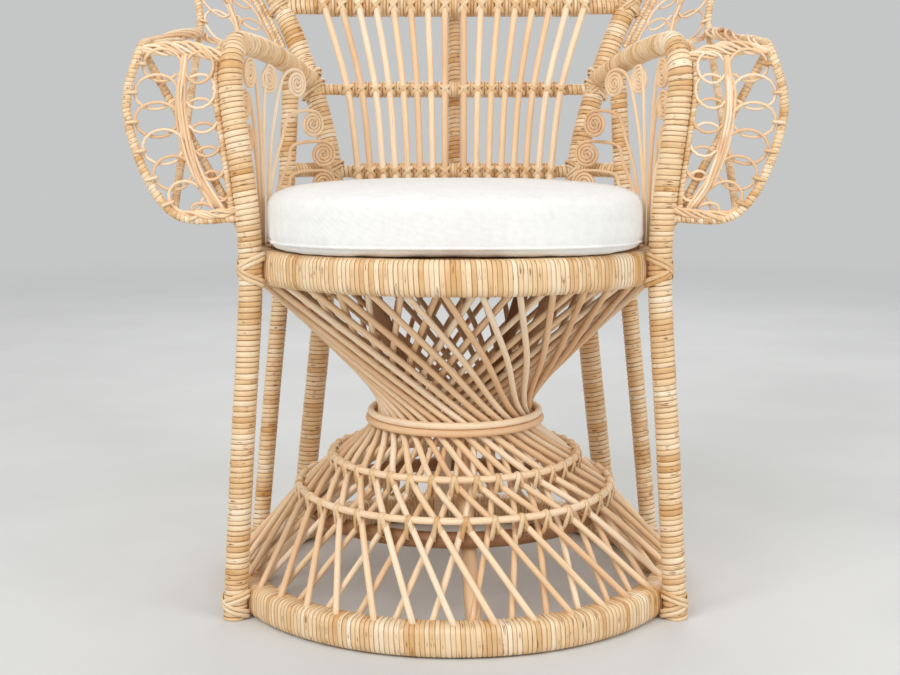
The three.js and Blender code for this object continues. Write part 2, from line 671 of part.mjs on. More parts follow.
// A loop leaves its base line, swells to both sides, touches the rim and comes back. Loops lie in two
// layers by turns, so that each passes over one neighbour and under the other.
function loops(base, rim, count, rimStand, layerWay) {
  const share = 1 / count;
  return Array.from({ length: count }, (_, i) => {
    const middle = (i + 0.5) * share;
    const layer = layerWay.clone().multiplyScalar((i % 2 ? 1 : -1) * (LOOP_CANE_RADIUS + CLEARANCE));
    const away = (at, out) => {
      const inside = base(at);
      const reach = rim(at).sub(inside);
      const length = reach.length() - rimStand;
      return inside.add(reach.setLength(out * length)).addScaledVector(layer, Math.min(1, out / LOOP_RISE));
    };
    const half = LOOP_REACH * share;
    const belly = LOOP_BELLY * share;
    const crown = LOOP_CROWN.belly * belly;
    const path = smooth([
      away(middle - half, 0), away(middle - belly, LOOP_RISE), away(middle - crown, LOOP_CROWN.rise),
      away(middle, 1),
      away(middle + crown, LOOP_CROWN.rise), away(middle + belly, LOOP_RISE), away(middle + half, 0),
    ]);
    return tube(path, LOOP_CANE_RADIUS, LOOP_STEPS, FINE_SIDES);
  });
}

const rimHalf = [
  onBack(FAN_BASE_X, FAN_BASE_HEIGHT),
  onBack(FAN_THROAT_X, FAN_THROAT_HEIGHT),
  onBack(FAN_SHOULDER_X, FAN_SHOULDER_HEIGHT),
  onBack(FAN_WIDEST_X, FAN_WIDEST_HEIGHT),
  ...archPoints(FAN_WIDEST_X, FAN_WIDEST_HEIGHT, FAN_TOP_HEIGHT),
];
const rimPath = smooth(bothSides(rimHalf));
const rimTube = (spare) => tube(rimPath, FAN_RIM_RADIUS + spare, HOOP_STEPS, RIM_SIDES);
const rimCutter = rimTube(CLEARANCE);

function addFan() {
  const backNormal = point(0, Math.cos(radians(BACK_LEAN)), -Math.sin(radians(BACK_LEAN)));
  const upperHoop = smooth(bothSides(upperHoopHalf));
  const stand = HOOP_RADIUS + FAN_BORDER_RADIUS + FAN_BORDER_GAP;
  const border = (share) => {
    const along = upperHoop.getTangentAt(share);
    return upperHoop.getPointAt(share).add(backNormal.clone().cross(along).setLength(stand));
  };
  const rim = (share) => rimPath.getPointAt(clamp(share));
  const rimStand = FAN_RIM_RADIUS + LOOP_CANE_RADIUS + 3 * CLEARANCE;
  const borderCane = tube(new Route(border), FAN_BORDER_RADIUS, BORDER_STEPS, CANE_SIDES);
  const petals = loops((share) => border(clamp(share)), rim, FAN_LOOPS, rimStand, backNormal);
  place('fan_rim', rimTube(0), WRAPPED);
  place('fan_loops', cut(joined([borderCane, ...petals]), rimCutter), PEELED);
}

// Wings: a rim from the arm pole round to the foot of the fan, with loops on both sides of a spine
function addWings() {
  SIDES.forEach(({ name, sign }, index) => {
    const at = (x, y, z) => point(sign * x, y, z);
    const post = armAt(index, WING_FOOT_HEIGHT);
    const frontRim = [
      at(Math.abs(post.x), post.y, WING_FOOT_HEIGHT - WING_RIM_RADIUS),
      at(WING_FOOT_X, WING_FRONT_Y, WING_FOOT_HEIGHT),
      at(WING_WIDEST_X, WING_FRONT_Y, WING_WIDEST_HEIGHT),
      at(WING_TOP_X, WING_FRONT_Y, WING_TOP_HEIGHT),
    ];
    const fanFoot = at(FAN_BASE_X, backY(FAN_BASE_HEIGHT), FAN_BASE_HEIGHT + FAN_RIM_RADIUS);
    const wingRim = smooth([
      ...frontRim,
      frontRim[3].clone().lerp(fanFoot, WING_CREST.share).setZ(WING_TOP_HEIGHT + WING_CREST.rise),
      fanFoot.clone().lerp(frontRim[3], WING_TAIL_SHARE),
      fanFoot,
    ]);
    const wingRimTube = (spare) => tube(wingRim, WING_RIM_RADIUS + spare, WING_STEPS, RIM_SIDES);
    const wingRimCutter = wingRimTube(CLEARANCE);
    place(`${name}_wing_rim`, cut(wingRimTube(0), armCutters[index], rimCutter), WRAPPED);

    const head = armAt(index, WING_TOP_HEIGHT - WING_HEAD_DROP);
    const edge = smooth(frontRim);
    const side = (share) => post.clone().lerp(head, share).setY(WING_FRONT_Y);
    const rimAt = (share) => edge.getPointAt(WING_EDGE_START + (1 - WING_EDGE_START) * share);
    const spine = (share) => side(share).lerp(rimAt(share), WING_SPINE_SHARE);
    const forward = point(0, 1, 0);
    const outer = loops(
      (share) => spine(clamp(share)),
      (share) => rimAt(clamp(share)),
      WING_LOOPS, WING_RIM_RADIUS + LOOP_CANE_RADIUS + 3 * CLEARANCE, forward,
    );
    const inner = loops(
      (share) => spine(clamp(share)),
      (share) => side(clamp(share)),
      WING_LOOPS, ARM_POLE_RADIUS + LOOP_CANE_RADIUS + 3 * CLEARANCE, forward.clone().negate(),
    );
    const headCane = throughStations([head.clone(), spine(1), frontRim[3].clone()]);
    const net = joined([
      tube(new Route(spine), WING_SPINE_RADIUS, SPINE_STEPS, CANE_SIDES),
      tube(headCane, WING_SPINE_RADIUS, 2, CANE_SIDES),
      ...outer,
      ...inner,
    ]);
    place(`${name}_wing_loops`, cut(net, armCutters[index], wingRimCutter), PEELED);

    const braceFoot = armAt(index, WING_BRACE_FOOT_HEIGHT);
    const behind = WING_STRUT_RADIUS + WING_SPINE_RADIUS + 2 * CLEARANCE;
    const bracePath = throughStations([
      at(Math.abs(braceFoot.x) + ARM_POLE_RADIUS / 2, braceFoot.y + behind, WING_BRACE_FOOT_HEIGHT),
      frontRim[3].clone().setY(WING_FRONT_Y + 2 * behind),
    ]);
    const brace = tube(bracePath, WING_STRUT_RADIUS, 1, RIM_SIDES);
    place(`${name}_wing_brace`, cut(brace, armCutters[index], wingRimCutter, seatCutter), WRAPPED);

    const stayEnd = WING_RIM_RADIUS / 2 / frontRim[1].distanceTo(fanFoot);
    const stayPath = throughStations([
      frontRim[1].clone().lerp(fanFoot, stayEnd),
      fanFoot.clone().lerp(frontRim[1], stayEnd),
    ]);
    const stay = tube(stayPath, WING_STRUT_RADIUS, 1, RIM_SIDES);
    place(`${name}_wing_stay`, cut(stay, wingRimCutter, rimCutter), WRAPPED);
  });
}

// Scrolls: a bundle of canes that stand on the seat ring and end in flat coils, each one unbroken cane
function scrollRoute(sign, coil, way, footY) {
  const panel = (y, z) => {
    const share = (y - SCROLL_FRONT.y) / (SCROLL_REAR.y - SCROLL_FRONT.y);
    return point(sign * (SCROLL_FRONT.x + (SCROLL_REAR.x - SCROLL_FRONT.x) * share), y, z);
  };
  const [coilY, coilZ] = coil;
  const footZ = SEAT_HEIGHT + CLEARANCE;
  const rise = coilZ + SCROLL_COIL_RADIUS - footZ;
  const run = coilY - footY;
  const stem = new THREE.CubicBezierCurve(
    new THREE.Vector2(footY, footZ),
    new THREE.Vector2(footY, footZ + SCROLL_STEM_SWEEP * rise),
    new THREE.Vector2(coilY - SCROLL_STEM_SWEEP * run, coilZ + SCROLL_COIL_RADIUS),
    new THREE.Vector2(coilY, coilZ + SCROLL_COIL_RADIUS),
  );
  const coilSteps = Math.round(SCROLL_COIL_TURNS * COIL_STEPS_PER_TURN);
  const stemShare = STEM_STEPS / (STEM_STEPS + coilSteps);
  return new Route((share) => {
    if (share <= stemShare) {
      const at = stem.getPointAt(share / stemShare);
      return panel(at.x, at.y);
    }
    const turn = SCROLL_COIL_TURNS * (share - stemShare) / (1 - stemShare);
    const radius = SCROLL_COIL_RADIUS - SCROLL_COIL_PITCH * turn;
    const angle = 2 * Math.PI * turn;
    return panel(coilY + way * radius * Math.sin(angle), coilZ + radius * Math.cos(angle));
  });
}

// Least space between turns of one coil, measured between points at least half a turn apart
function leastSelfGap(route, steps) {
  const coilStart = STEM_STEPS / steps;
  const fine = Array.from({ length: COIL_SAMPLES }, (_, i) => (
    route.getPoint(coilStart + (1 - coilStart) * i / (COIL_SAMPLES - 1))
  ));
  const apart = Math.ceil(COIL_SAMPLES / SCROLL_COIL_TURNS / 2);
  let least = Infinity;
  for (let i = 0; i < fine.length; i += 1) {
    for (let j = i + apart; j < fine.length; j += 1) least = Math.min(least, fine[i].distanceTo(fine[j]));
  }
  return least - 2 * SCROLL_CANE_RADIUS;
}

function addScrolls() {
  const steps = STEM_STEPS + Math.round(SCROLL_COIL_TURNS * COIL_STEPS_PER_TURN);
  const coils = [
    ...FRONT_COILS.map((coil) => ({ coil, way: -1 })),
    ...REAR_COILS.map((coil) => ({ coil, way: 1 })),
  ];
  SIDES.forEach(({ name, sign }) => {
    const canes = coils.map(({ coil, way }, rank) => {
      const footY = SCROLL_FOOT_Y + SCROLL_STEM_PITCH * (rank - (coils.length - 1) / 2);
      const route = scrollRoute(sign, coil, way, footY);
      console.log(`${name} scroll ${rank + 1}: least self-gap ${leastSelfGap(route, steps).toFixed(2)} mm`);
      return tube(route, SCROLL_CANE_RADIUS, steps, FINE_SIDES);
    });
    place(`${name}_scroll_panel`, joined(canes), PEELED);
  });
}

addRings();
addHoops();
addPoles();
addSideRails();
addInnerFrame();
addSeat();
addPad();
addBack();
addSpindles();
addFan();
addWings();
addScrolls();

// The origin is under the middle of the chair, on the floor
const extent = new THREE.Box3().setFromObject(chair);
chair.position.y = -(extent.min.y + extent.max.y) / 2;

export default chair;
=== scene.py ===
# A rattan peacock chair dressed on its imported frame: cane peel wound round the poles and rings, bare canes
# in the weave, the loops and the scrolls, strip lashings at the joints, and a stuffed canvas pad.
# Sizes are in millimetres from the middle of the seat ring, on the floor. The sitter faces -Y.
import math
import random

import bmesh
import bpy
import numpy as np
from mathutils import Matrix, Vector
from mathutils.bvhtree import BVHTree


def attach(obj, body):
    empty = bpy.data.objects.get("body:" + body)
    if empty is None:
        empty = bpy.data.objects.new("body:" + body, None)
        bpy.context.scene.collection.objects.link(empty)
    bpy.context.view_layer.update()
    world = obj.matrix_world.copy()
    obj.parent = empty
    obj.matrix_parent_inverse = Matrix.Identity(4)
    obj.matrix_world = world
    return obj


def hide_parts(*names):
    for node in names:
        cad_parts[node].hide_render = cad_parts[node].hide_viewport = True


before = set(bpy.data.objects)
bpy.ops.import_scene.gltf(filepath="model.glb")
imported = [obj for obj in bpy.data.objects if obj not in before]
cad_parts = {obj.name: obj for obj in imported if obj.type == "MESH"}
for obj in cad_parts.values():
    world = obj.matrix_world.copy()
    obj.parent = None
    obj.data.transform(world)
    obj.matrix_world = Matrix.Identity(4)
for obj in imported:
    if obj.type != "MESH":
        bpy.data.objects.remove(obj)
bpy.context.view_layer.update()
chance = random.Random(19)

# Place of the seat ring's middle in the frame, which is towards the front
AXIS_Y = -75.93

# Rings and poles
SEAT_HEIGHT = 420
SEAT_RING = {"radius": 254, "width": 30, "height": 40, "middle": 400}
BASE_RING = {"radius": 278, "width": 32, "height": 36, "middle": 18}
POLE_SEAT = 1.2
POLE_OVERRUN = 27
ARM_POLE_RADIUS = 14
ARM_POLE_ANGLE = 60
SIDE_POLE_RADIUS = 11.5
SIDE_POLE_ANGLES = (115, 121)
HOOP_RADIUS = 14.5
REAR_LEG_ANGLES = (133, 139.5)

# Winding: the strip's width, the depth of the groove between turns, and how far the painted shade line in that
# groove is filled, from 0, dark, to 1, hidden
POLE_PEEL = {"width": 6.2, "groove": 1.15, "seam": 0.0}
RING_PEEL = {"width": 5.2, "groove": 0.7, "seam": 0.05}
THIN_PEEL = {"width": 5.0, "groove": 0.5, "seam": 0.11}
BORDER_PEEL = {"width": 5.0, "groove": 0.45, "seam": 0.11}
# A ring is wound round and then stretched to its oblong section
RING_ROUND = 18
RING_SQUARENESS = 4
PEEL_STRAY = 0.16
# The bow of a strip, as places across it and shares of the groove's depth
PEEL_BOW = ((0.0, 1.0), (0.16, 0.34), (0.5, 0.0), (0.84, 0.34))
# Runs of canes are numbered this far apart, in metres, so that each cane finds its own shade
CANE_SPACING = 5.0
CANE_LOTS = 4000
PEEL_LOTS = 400
# A strip laid flat gets no painted groove shade, and its tint changes as a turn of winding does over this
# length
STRIP_CREST = 0.9
STRIP_DRIFT = 50

# Arms
ARM_WAIST = (235, 474)
ARM_SWELL = (251, 600)
ARM_FRONT_Y = -128
ARM_TOP_HEIGHT = 656
ARM_BEND = ((0, 5, 26), (2, 31, 3), (8, 68, 0))
ARM_SAG = 5
ARM_REAR_HEIGHT = 630
SIDE_POLE_TOP_Y = 146
SIDE_RAIL_HEIGHT = 505
SIDE_RAIL_RADIUS = 10
PIPING_RADIUS = 4.2
PIPING_START_HEIGHT = 452
PIPING_END_Y = -60
PIPING_SINK = 1
PIPING_BACK = 1.5

# Back: half widths and heights
BACK_LEAN = math.radians(12)
HOOP_STATIONS = ((170, 509), (221, 682), (303, 850), (347, 1050))
HOOP_TOP = 1330
LOWER_RAIL = {"height": 502, "radius": 9, "pitch": 17}
MIDDLE_RAIL = {"height": 615, "radius": 8, "pitch": 19.2}
UPPER_RAIL = {"height": 731, "radius": 11, "pitch": 24}
RAILS = {"lower": LOWER_RAIL, "middle": MIDDLE_RAIL, "upper": UPPER_RAIL}
CENTRE_POST_RADIUS = 9
SPINDLES_PER_SIDE = 8
SPINDLE_RADIUS = 4.5
SPINDLE_INSET = 13
SPINDLE_FOOT_PITCH = 15.5
SPINDLE_PROUD = 20
SPINDLE_GAP = 0.3
SUNRAYS = 31
SUNRAY_RADIUS = 3.1
SUNRAY_PITCH = 9.6
SUNRAY_LOWEST = 0.368
SUNRAY_SINK = 1

# Fan
FAN_STATIONS = ((355, 692), (360, 740), (438, 880), (524, 1080))
FAN_TOP = 1455
FAN_RIM_RADIUS = 5.3
FAN_BORDER_RADIUS = 3.5
FAN_BORDERS = (18.4, 25.8)
FAN_LOOPS_PER_SIDE = 29
FAN_SPINE_SHARE = 0.47
FAN_SPINE_PITCH = 3.04
FAN_TIE = {"out": 7.5, "deep": 6.2, "half_width": 2.0}

# Loops: how much of the room a ring takes, its widest half, and its height as a share of the loops' pitch
LOOP_RADIUS = 1.9
LOOP_FILL = 0.48
LOOP_CLEAR = 1
LOOP_HALF_LIMIT = 26
LOOP_HEIGHT_SHARE = 0.68
LOOP_TURNS = (202, 248, 294, 340, 26, 72, 118, 164)
# Where a loop's tails lie on the stem, in loops below their own, and how much of their stray they have there
LOOP_TAIL = ((2.9, 1), (1.9, 1), (0.95, 1.2))
LOOP_TAIL_LOWEST = -0.04
LOOP_STRAY_OUT = (-1.5, 4.5)
LOOP_STRAY_DEEP = (-4, 4)
LOOP_THICKNESS = (0.92, 1.05)
TIE_THICK = 0.45

# Wings
WING_RIM_RADIUS = 5.2
WING_FRONT_Y = -136
WING_FOOT = (316, 463)
WING_WIDEST = (366, 575)
WING_TOP = (350, 644)
WING_CREST = (0.15, 14)
WING_TAIL_SHARE = 0.4
WING_HEAD_DROP = 12
WING_EDGE_START = 0.16
WING_SPINE_SHARE = 0.5
WING_LOOPS = 7
WING_LOOP_START = 0.55
WING_STRUT_RADIUS = 5
WING_BRACE_FOOT = 436
WING_BRACE_BACK = (9.2, 18.4)
WING_TIE = {"out": 7.4, "deep": 6.2, "half_width": 2.2}
# Bundles of the wing's canes: how many, and how far they spread
SPINE_BUNDLE = (6, 6)
TOP_BUNDLE = (10, 9)
FOOT_BUNDLE = (5, 5)
CREST_BUNDLE = (7, 16)
ARM_BUNDLE = (4, 6)
ARM_BUNDLE_Y = -38
SPINE_PLACES = (0.02, 0.35, 0.7, 1)
FOOT_STAND = (0, -6, 2)
# How far the others bow at their middle, on the right wing
TOP_BOW = (0, -3, 7)
FOOT_BOW = (0, -4, -4)
CREST_BOW = (-14, 0, 6)
ARM_BOW = (8, 0, -4)
BUNDLE_TWIST = 1.5
SPINE_TWIST = 0.4
BUNDLE_END_SHARE = 0.35
BUNDLE_FLATNESS = 0.45
BUNDLE_STRAY = 0.08
BUNDLE_REACH = (0.6, 1.0)

# Scrolls
SCROLL_RADIUS = 2.2
COIL_RADIUS = 17.5
COIL_TURNS = 3.6
COIL_PITCH = 4.5
SCROLL_FOOT_Y = -40
SCROLL_STEM_PITCH = 4.5
SCROLL_FRONT = (245, -110)
SCROLL_REAR = (175, 175)
SCROLL_SWEEP = 0.6
SCROLL_TURN_START = 0.5
SCROLL_LAP = 1.1
# Place along the arm, height, and how far each coil is turned to face the front
FRONT_COILS = ((-86, 506, 0), (-90, 545, 0), (-90, 584, 0), (-80, 621, 0))
REAR_COILS = ((-18, 617, 10), (70, 616, 18), (132, 566, 32), (166, 526, 46), (172, 487, 46))

# Hourglass
WEAVE_CANES = 38
WEAVE_RADIUS = 3.75
WEAVE_STRAY = 0.5
WEAVE_THICKNESS = (0.95, 1.05)
# Radius, height and turn down each layer, which has its waist in the middle
WEAVE_OUTER = (
    (244, 383.7, -60), (157, 302, -45), (92, 210, 0), (147, 157, 28), (188, 121, 41.4), (268, 32.3, 56.8),
)
WEAVE_INNER = (
    (234, 383.7, -60), (146, 302, -45), (82, 210, 0), (133, 157, 11.6), (174, 121, 17.15), (254, 32.3, 26.2),
)
# Turned by this, the inner canes pass under the outer ones at both hoops
INNER_PHASE = (WEAVE_OUTER[3][2] + WEAVE_INNER[3][2]) % (360 / WEAVE_CANES)
UPPER_HOOP = {"radius": 151.7, "height": 161.7, "turn": WEAVE_OUTER[3][2]}
LOWER_HOOP = {"radius": 192.6, "height": 125.6, "turn": WEAVE_OUTER[4][2]}
HOOP_CANE_RADIUS = 4.2
# Each tie leans along a cane as it goes down the skirt. Its path is given as places down the skirt and out
# from it.
HOOP_TIES = (
    (26, (
        (-5.2, -4), (-4.6, 2), (-1, 5.1), (4, 3.4), (9, -1.6),
        (13, -5.4), (11.5, -12.2), (5, -13.2), (-3.5, -10.5), (-5.2, -4),
    )),
    (-15, (
        (-5.2, -4), (-4.6, 2), (-1, 5.3), (4, 3.6), (10, -5),
        (15, -14), (13.5, -21.5), (5, -22.5), (-3, -17), (-5.2, -4),
    )),
)
HOOP_TIE_HALF_WIDTH = 2.9
HOOP_TIE_STRAY = 5
WAIST_RING = {"radius": 105, "height": 209, "cane": 4.3, "spread": 1.2}
INNER_WAIST = {"radius": 74, "height": 210}
INNER_RING = {"radius": 178, "height": 100, "cane": 9.5}

# Poles inside the hourglass, as radius and height, and the seat deck
POST_RADIUS = 9
POST_FIRST_ANGLE = 5
STRUT_FOOT = (254.7, -9)
POST_WAIST = (61, 208)
POST_HEAD = (174, 413.5)
BEARER = {"radius": 9, "half_length": 216, "height": 404.7}
BEARER_PLACES = (-60, 60)
DECK_RADIUS = 223.5
DECK_THICKNESS = 6
DECK_CANE_WIDTH = 12
REST_GAP = 0.3

# Lashings: strips laid flat, whose thickness is a share of their width. A lift has a middle and a difference,
# so that the strips that lean one way lie over those that lean the other way.
STRIP_HALF_WIDTH = 2.7
STRIP_THICK = 0.3
# Over a pole on a ring: places across the pole and out from the ring, in pole radii, and shares of the reach
LASH_PATH = ((-0.96, 0.1, 1.0), (-1.04, 0.9, 0.72), (-0.75, 1.68, 0.42), (0, 2.05, 0))
LASH_PITCH = 5.6
LASH_LIFT = (0.5, 0.4)
LASH_REACH = 16
LASH_REST = 6
# Round a pole
BIND_PITCH = 5.8
BIND_LIFT = (0.7, 0.3)
BIND_LEAN = 0.75
# Over a spindle: places across it and forward of it
SPINDLE_LASH_PATH = ((-1.0, -1.0), (-0.8, 0.1), (0, 1.0), (0.8, 0.1), (1.0, -1.0))
SPINDLE_LASH_STAND = 2.6
SPINDLE_LASH_LIFT = 0.6
SPINDLE_LASH_SHARE = 0.8
# Between spindles
GAP_STRIP_PITCH = 5
GAP_STRIP_STAND = 2.2
GAP_STRIP_THICK = 0.6

# Pad
PAD_HALF_WIDTH = 224
PAD_REAR_TAPER = 0.05
PAD_HALF_DEPTH = 208
PAD_CENTRE_Y = -32
PAD_BOTTOM = 420.3
PAD_HEIGHT = 66
PAD_CROWN = 13
PAD_SQUARENESS = 3.1
# Before it is filled the pad is smaller by this and lifted by this
PAD_SHRINK = 1.5
PAD_LIFT = 1
# Filled, it stays this far above its bottom and no further than this above its crown
PAD_GAP = 0.2
PAD_SWELL = 6
# Half of the pad's section before it is filled: shares of its width and height. Above the break it rises to
# the crown.
PAD_SECTION = (
    (0.0, 0.0), (0.5, 0.0), (0.94, 0.0), (0.985, 0.05), (1.0, 0.2), (1.0, 0.74), (0.992, 0.89), (0.962, 0.98),
    (0.89, 1.03), (0.76, 1.07), (0.48, 1.13), (0.0, 1.16),
)
PAD_BREAK = 0.97
PAD_CROWN_SLOPE = 4.7
PAD_TAPER_START = 0.4
# The filling, with sizes in metres
PAD_VOXEL = 0.0055
PAD_PRESSURE = 4
PAD_STEPS = 20
PAD_FILL_LIMIT = 0.004
# The seam: how deep its puckers and its tuck are, and how far up the side each reaches, in metres
PUCKER = (0.0011, 0.016)
TUCK = (0.0022, 0.004)
PUCKERS = (37, 71)
SEAM_EDGE = (0.9, 0.06)
PAD_SEAM_HEIGHT = 431
WELT_RADIUS = 1.9
WELT_STAND = 0.6
WELT_POINTS = 240
THREAD_PITCH = 0.002

# Studio, in metres and degrees
SKY = "#f4f5f5"
SKY_STRENGTH = 0.62
FLOOR_HALF = 9
FLOOR_DROP = 0.0005
FLOOR_FADE = (1.8, 5.0)
LAMPS = (
    ("window", (-1.7, -2.6, 2.5), 2.2, 68),
    ("bounce", (2.2, -2.0, 1.7), 2.0, 32),
    ("rear", (0.4, 2.6, 2.6), 2.0, 30),
)
LAMP_AIM = (0, 0, 0.55)
CAMERA_PLACE = (-0.006, (AXIS_Y - 1650) / 1000, 0.544)
CAMERA_PITCH = 5.54
CAMERA_LENS = 54
CAMERA_SHIFT = -0.073

SIDES = (("left", -1), ("right", 1))


# Finishes
def linear(hex_colour):
    parts = [int(hex_colour[i:i + 2], 16) / 255 for i in (1, 3, 5)]
    return [c / 12.92 if c <= 0.04045 else ((c + 0.055) / 1.055) ** 2.4 for c in parts] + [1.0]


def add(tree, kind, inputs=(), **settings):
    """Adds a node, sets it and links its inputs."""
    node = tree.nodes.new(kind)
    for key, value in settings.items():
        setattr(node, key, value)
    for key, value in dict(inputs).items():
        if isinstance(value, bpy.types.NodeSocket):
            tree.links.new(value, node.inputs[key])
        else:
            node.inputs[key].default_value = value
    return node


def shades(tree, share, *stops):
    """A colour ramp over places and hex colours."""
    ramp = add(tree, "ShaderNodeValToRGB", {"Fac": share})
    elements = ramp.color_ramp.elements
    while len(elements) < len(stops):
        elements.new(0.5)
    for element, (place, colour) in zip(elements, stops):
        element.position = place
        element.color = linear(colour)
    return ramp.outputs["Color"]


def finish(name):
    material = bpy.data.materials.new(name)
    material.use_nodes = True
    tree = material.node_tree
    return material, tree, tree.nodes["Principled BSDF"]


def cane_peel(name, groove, low, mid, high):
    """Split rattan skin wound as a strip. It shows a satin skin, painted shade as a dark line where turns part,
    slow changes of honey colour along the strip, fine fibres across it and dark scars where the leaf sheaths
    broke off."""
    material, tree, skin = finish(name)
    lie = add(tree, "ShaderNodeAttribute", attribute_name="lie")
    split = add(tree, "ShaderNodeSeparateXYZ", {0: lie.outputs["Vector"]})
    turn, crest = split.outputs["X"], split.outputs["Y"]

    slow = add(tree, "ShaderNodeMath", {0: turn, 1: 0.16}, operation="MULTIPLY")
    drift = add(
        tree, "ShaderNodeTexNoise",
        {"W": slow.outputs[0], "Scale": 1.0, "Detail": 2.0}, noise_dimensions="1D",
    )
    quick = add(tree, "ShaderNodeTexNoise", {"W": turn, "Scale": 0.9, "Detail": 1.0}, noise_dimensions="1D")
    tint = add(
        tree, "ShaderNodeMix",
        {"Factor": 0.4, "A": drift.outputs["Fac"], "B": quick.outputs["Fac"]}, data_type="FLOAT",
    )
    body = shades(tree, tint.outputs["Result"], (0.3, low), (0.5, mid), (0.7, high))

    spread = lie.outputs["Vector"]
    fibre_place = add(tree, "ShaderNodeVectorMath", {0: spread, 1: (5.0, 11.0, 31.0)}, operation="MULTIPLY")
    fibre = add(tree, "ShaderNodeTexNoise", {"Vector": fibre_place.outputs[0], "Scale": 1.0, "Detail": 3.0})
    fibre_shade = shades(tree, fibre.outputs["Fac"], (0.3, "#d8d0c4"), (0.6, "#ffffff"))
    streaked = add(
        tree, "ShaderNodeMix",
        {"Factor": 0.55, "A": body, "B": fibre_shade}, data_type="RGBA", blend_type="MULTIPLY",
    )
    scar_place = add(tree, "ShaderNodeVectorMath", {0: spread, 1: (6.5, 1.7, 47.0)}, operation="MULTIPLY")
    scar = add(tree, "ShaderNodeTexNoise", {"Vector": scar_place.outputs[0], "Scale": 1.0, "Detail": 2.0})
    scar_share = add(
        tree, "ShaderNodeMapRange",
        {"Value": scar.outputs["Fac"], "From Min": 0.62, "From Max": 0.7, "To Min": 0.0, "To Max": 0.85},
    )
    scarred = add(
        tree, "ShaderNodeMix",
        {"Factor": scar_share.outputs[0], "A": streaked.outputs["Result"], "B": linear("#7d4c22")},
        data_type="RGBA",
    )
    # Painted shade: the groove colour darkens each turn's edges where they bow into the groove, less where
    # turns lie close
    close_place = add(tree, "ShaderNodeVectorMath", {0: spread, 1: (1.3, 0.0, 47.0)}, operation="MULTIPLY")
    close = add(tree, "ShaderNodeTexNoise", {"Vector": close_place.outputs[0], "Scale": 1.0, "Detail": 2.0})
    close_share = add(
        tree, "ShaderNodeMapRange",
        {"Value": close.outputs["Fac"], "From Min": 0.45, "From Max": 0.7, "To Min": 0.0, "To Max": 0.12},
    )
    filled = add(tree, "ShaderNodeMath", {0: crest, 1: close_share.outputs[0]}, operation="ADD")
    between = add(
        tree, "ShaderNodeMapRange", {"Value": filled.outputs[0], "From Min": 0.02, "From Max": 0.34},
        interpolation_type="SMOOTHSTEP",
    )
    colour = add(
        tree, "ShaderNodeMix",
        {"Factor": between.outputs[0], "A": linear(groove), "B": scarred.outputs["Result"]}, data_type="RGBA",
    )
    rough = add(
        tree, "ShaderNodeMapRange",
        {"Value": fibre.outputs["Fac"], "From Min": 0.3, "From Max": 0.7, "To Min": 0.34, "To Max": 0.5},
    )
    bump = add(tree, "ShaderNodeBump", {"Height": fibre.outputs["Fac"], "Strength": 0.25, "Distance": 0.0004})
    tree.links.new(colour.outputs["Result"], skin.inputs["Base Color"])
    tree.links.new(rough.outputs[0], skin.inputs["Roughness"])
    tree.links.new(bump.outputs["Normal"], skin.inputs["Normal"])
    skin.inputs["IOR"].default_value = 1.5
    return material


def cane_core(name, low, mid, high, streak, roughness):
    """Peeled rattan core, drawn through a die. It is matt and even, each cane a little paler or redder than
    the next, with long pores that run along it."""
    material, tree, skin = finish(name)
    lie = add(tree, "ShaderNodeAttribute", attribute_name="lie")
    split = add(tree, "ShaderNodeSeparateXYZ", {0: lie.outputs["Vector"]})
    number = add(tree, "ShaderNodeMath", {0: split.outputs["X"], 1: CANE_SPACING}, operation="DIVIDE")
    whole = add(tree, "ShaderNodeMath", {0: number.outputs[0]}, operation="FLOOR")
    lot = add(tree, "ShaderNodeTexWhiteNoise", {"W": whole.outputs[0]}, noise_dimensions="1D")
    drift = add(
        tree, "ShaderNodeTexNoise",
        {"W": split.outputs["X"], "Scale": 7.0, "Detail": 2.0}, noise_dimensions="1D",
    )
    share = add(
        tree, "ShaderNodeMix",
        {"Factor": 0.45, "A": lot.outputs["Value"], "B": drift.outputs["Fac"]}, data_type="FLOAT",
    )
    body = shades(tree, share.outputs["Result"], (0.2, low), (0.5, mid), (0.85, high))
    place = add(
        tree, "ShaderNodeVectorMath",
        {0: lie.outputs["Vector"], 1: (24.0, 4.5, 4.5)}, operation="MULTIPLY",
    )
    pores = add(
        tree, "ShaderNodeTexNoise",
        {"Vector": place.outputs[0], "Scale": 1.0, "Detail": 4.0, "Roughness": 0.6},
    )
    pore_share = add(
        tree, "ShaderNodeMapRange",
        {"Value": pores.outputs["Fac"], "From Min": 0.52, "From Max": 0.75, "To Min": 0.0, "To Max": 0.6},
    )
    colour = add(
        tree, "ShaderNodeMix",
        {"Factor": pore_share.outputs[0], "A": body, "B": linear(streak)}, data_type="RGBA",
    )
    bump = add(tree, "ShaderNodeBump", {"Height": pores.outputs["Fac"], "Strength": 0.2, "Distance": 0.0004})
    tree.links.new(colour.outputs["Result"], skin.inputs["Base Color"])
    tree.links.new(bump.outputs["Normal"], skin.inputs["Normal"])
    skin.inputs["Roughness"].default_value = roughness
    skin.inputs["IOR"].default_value = 1.5
    return material


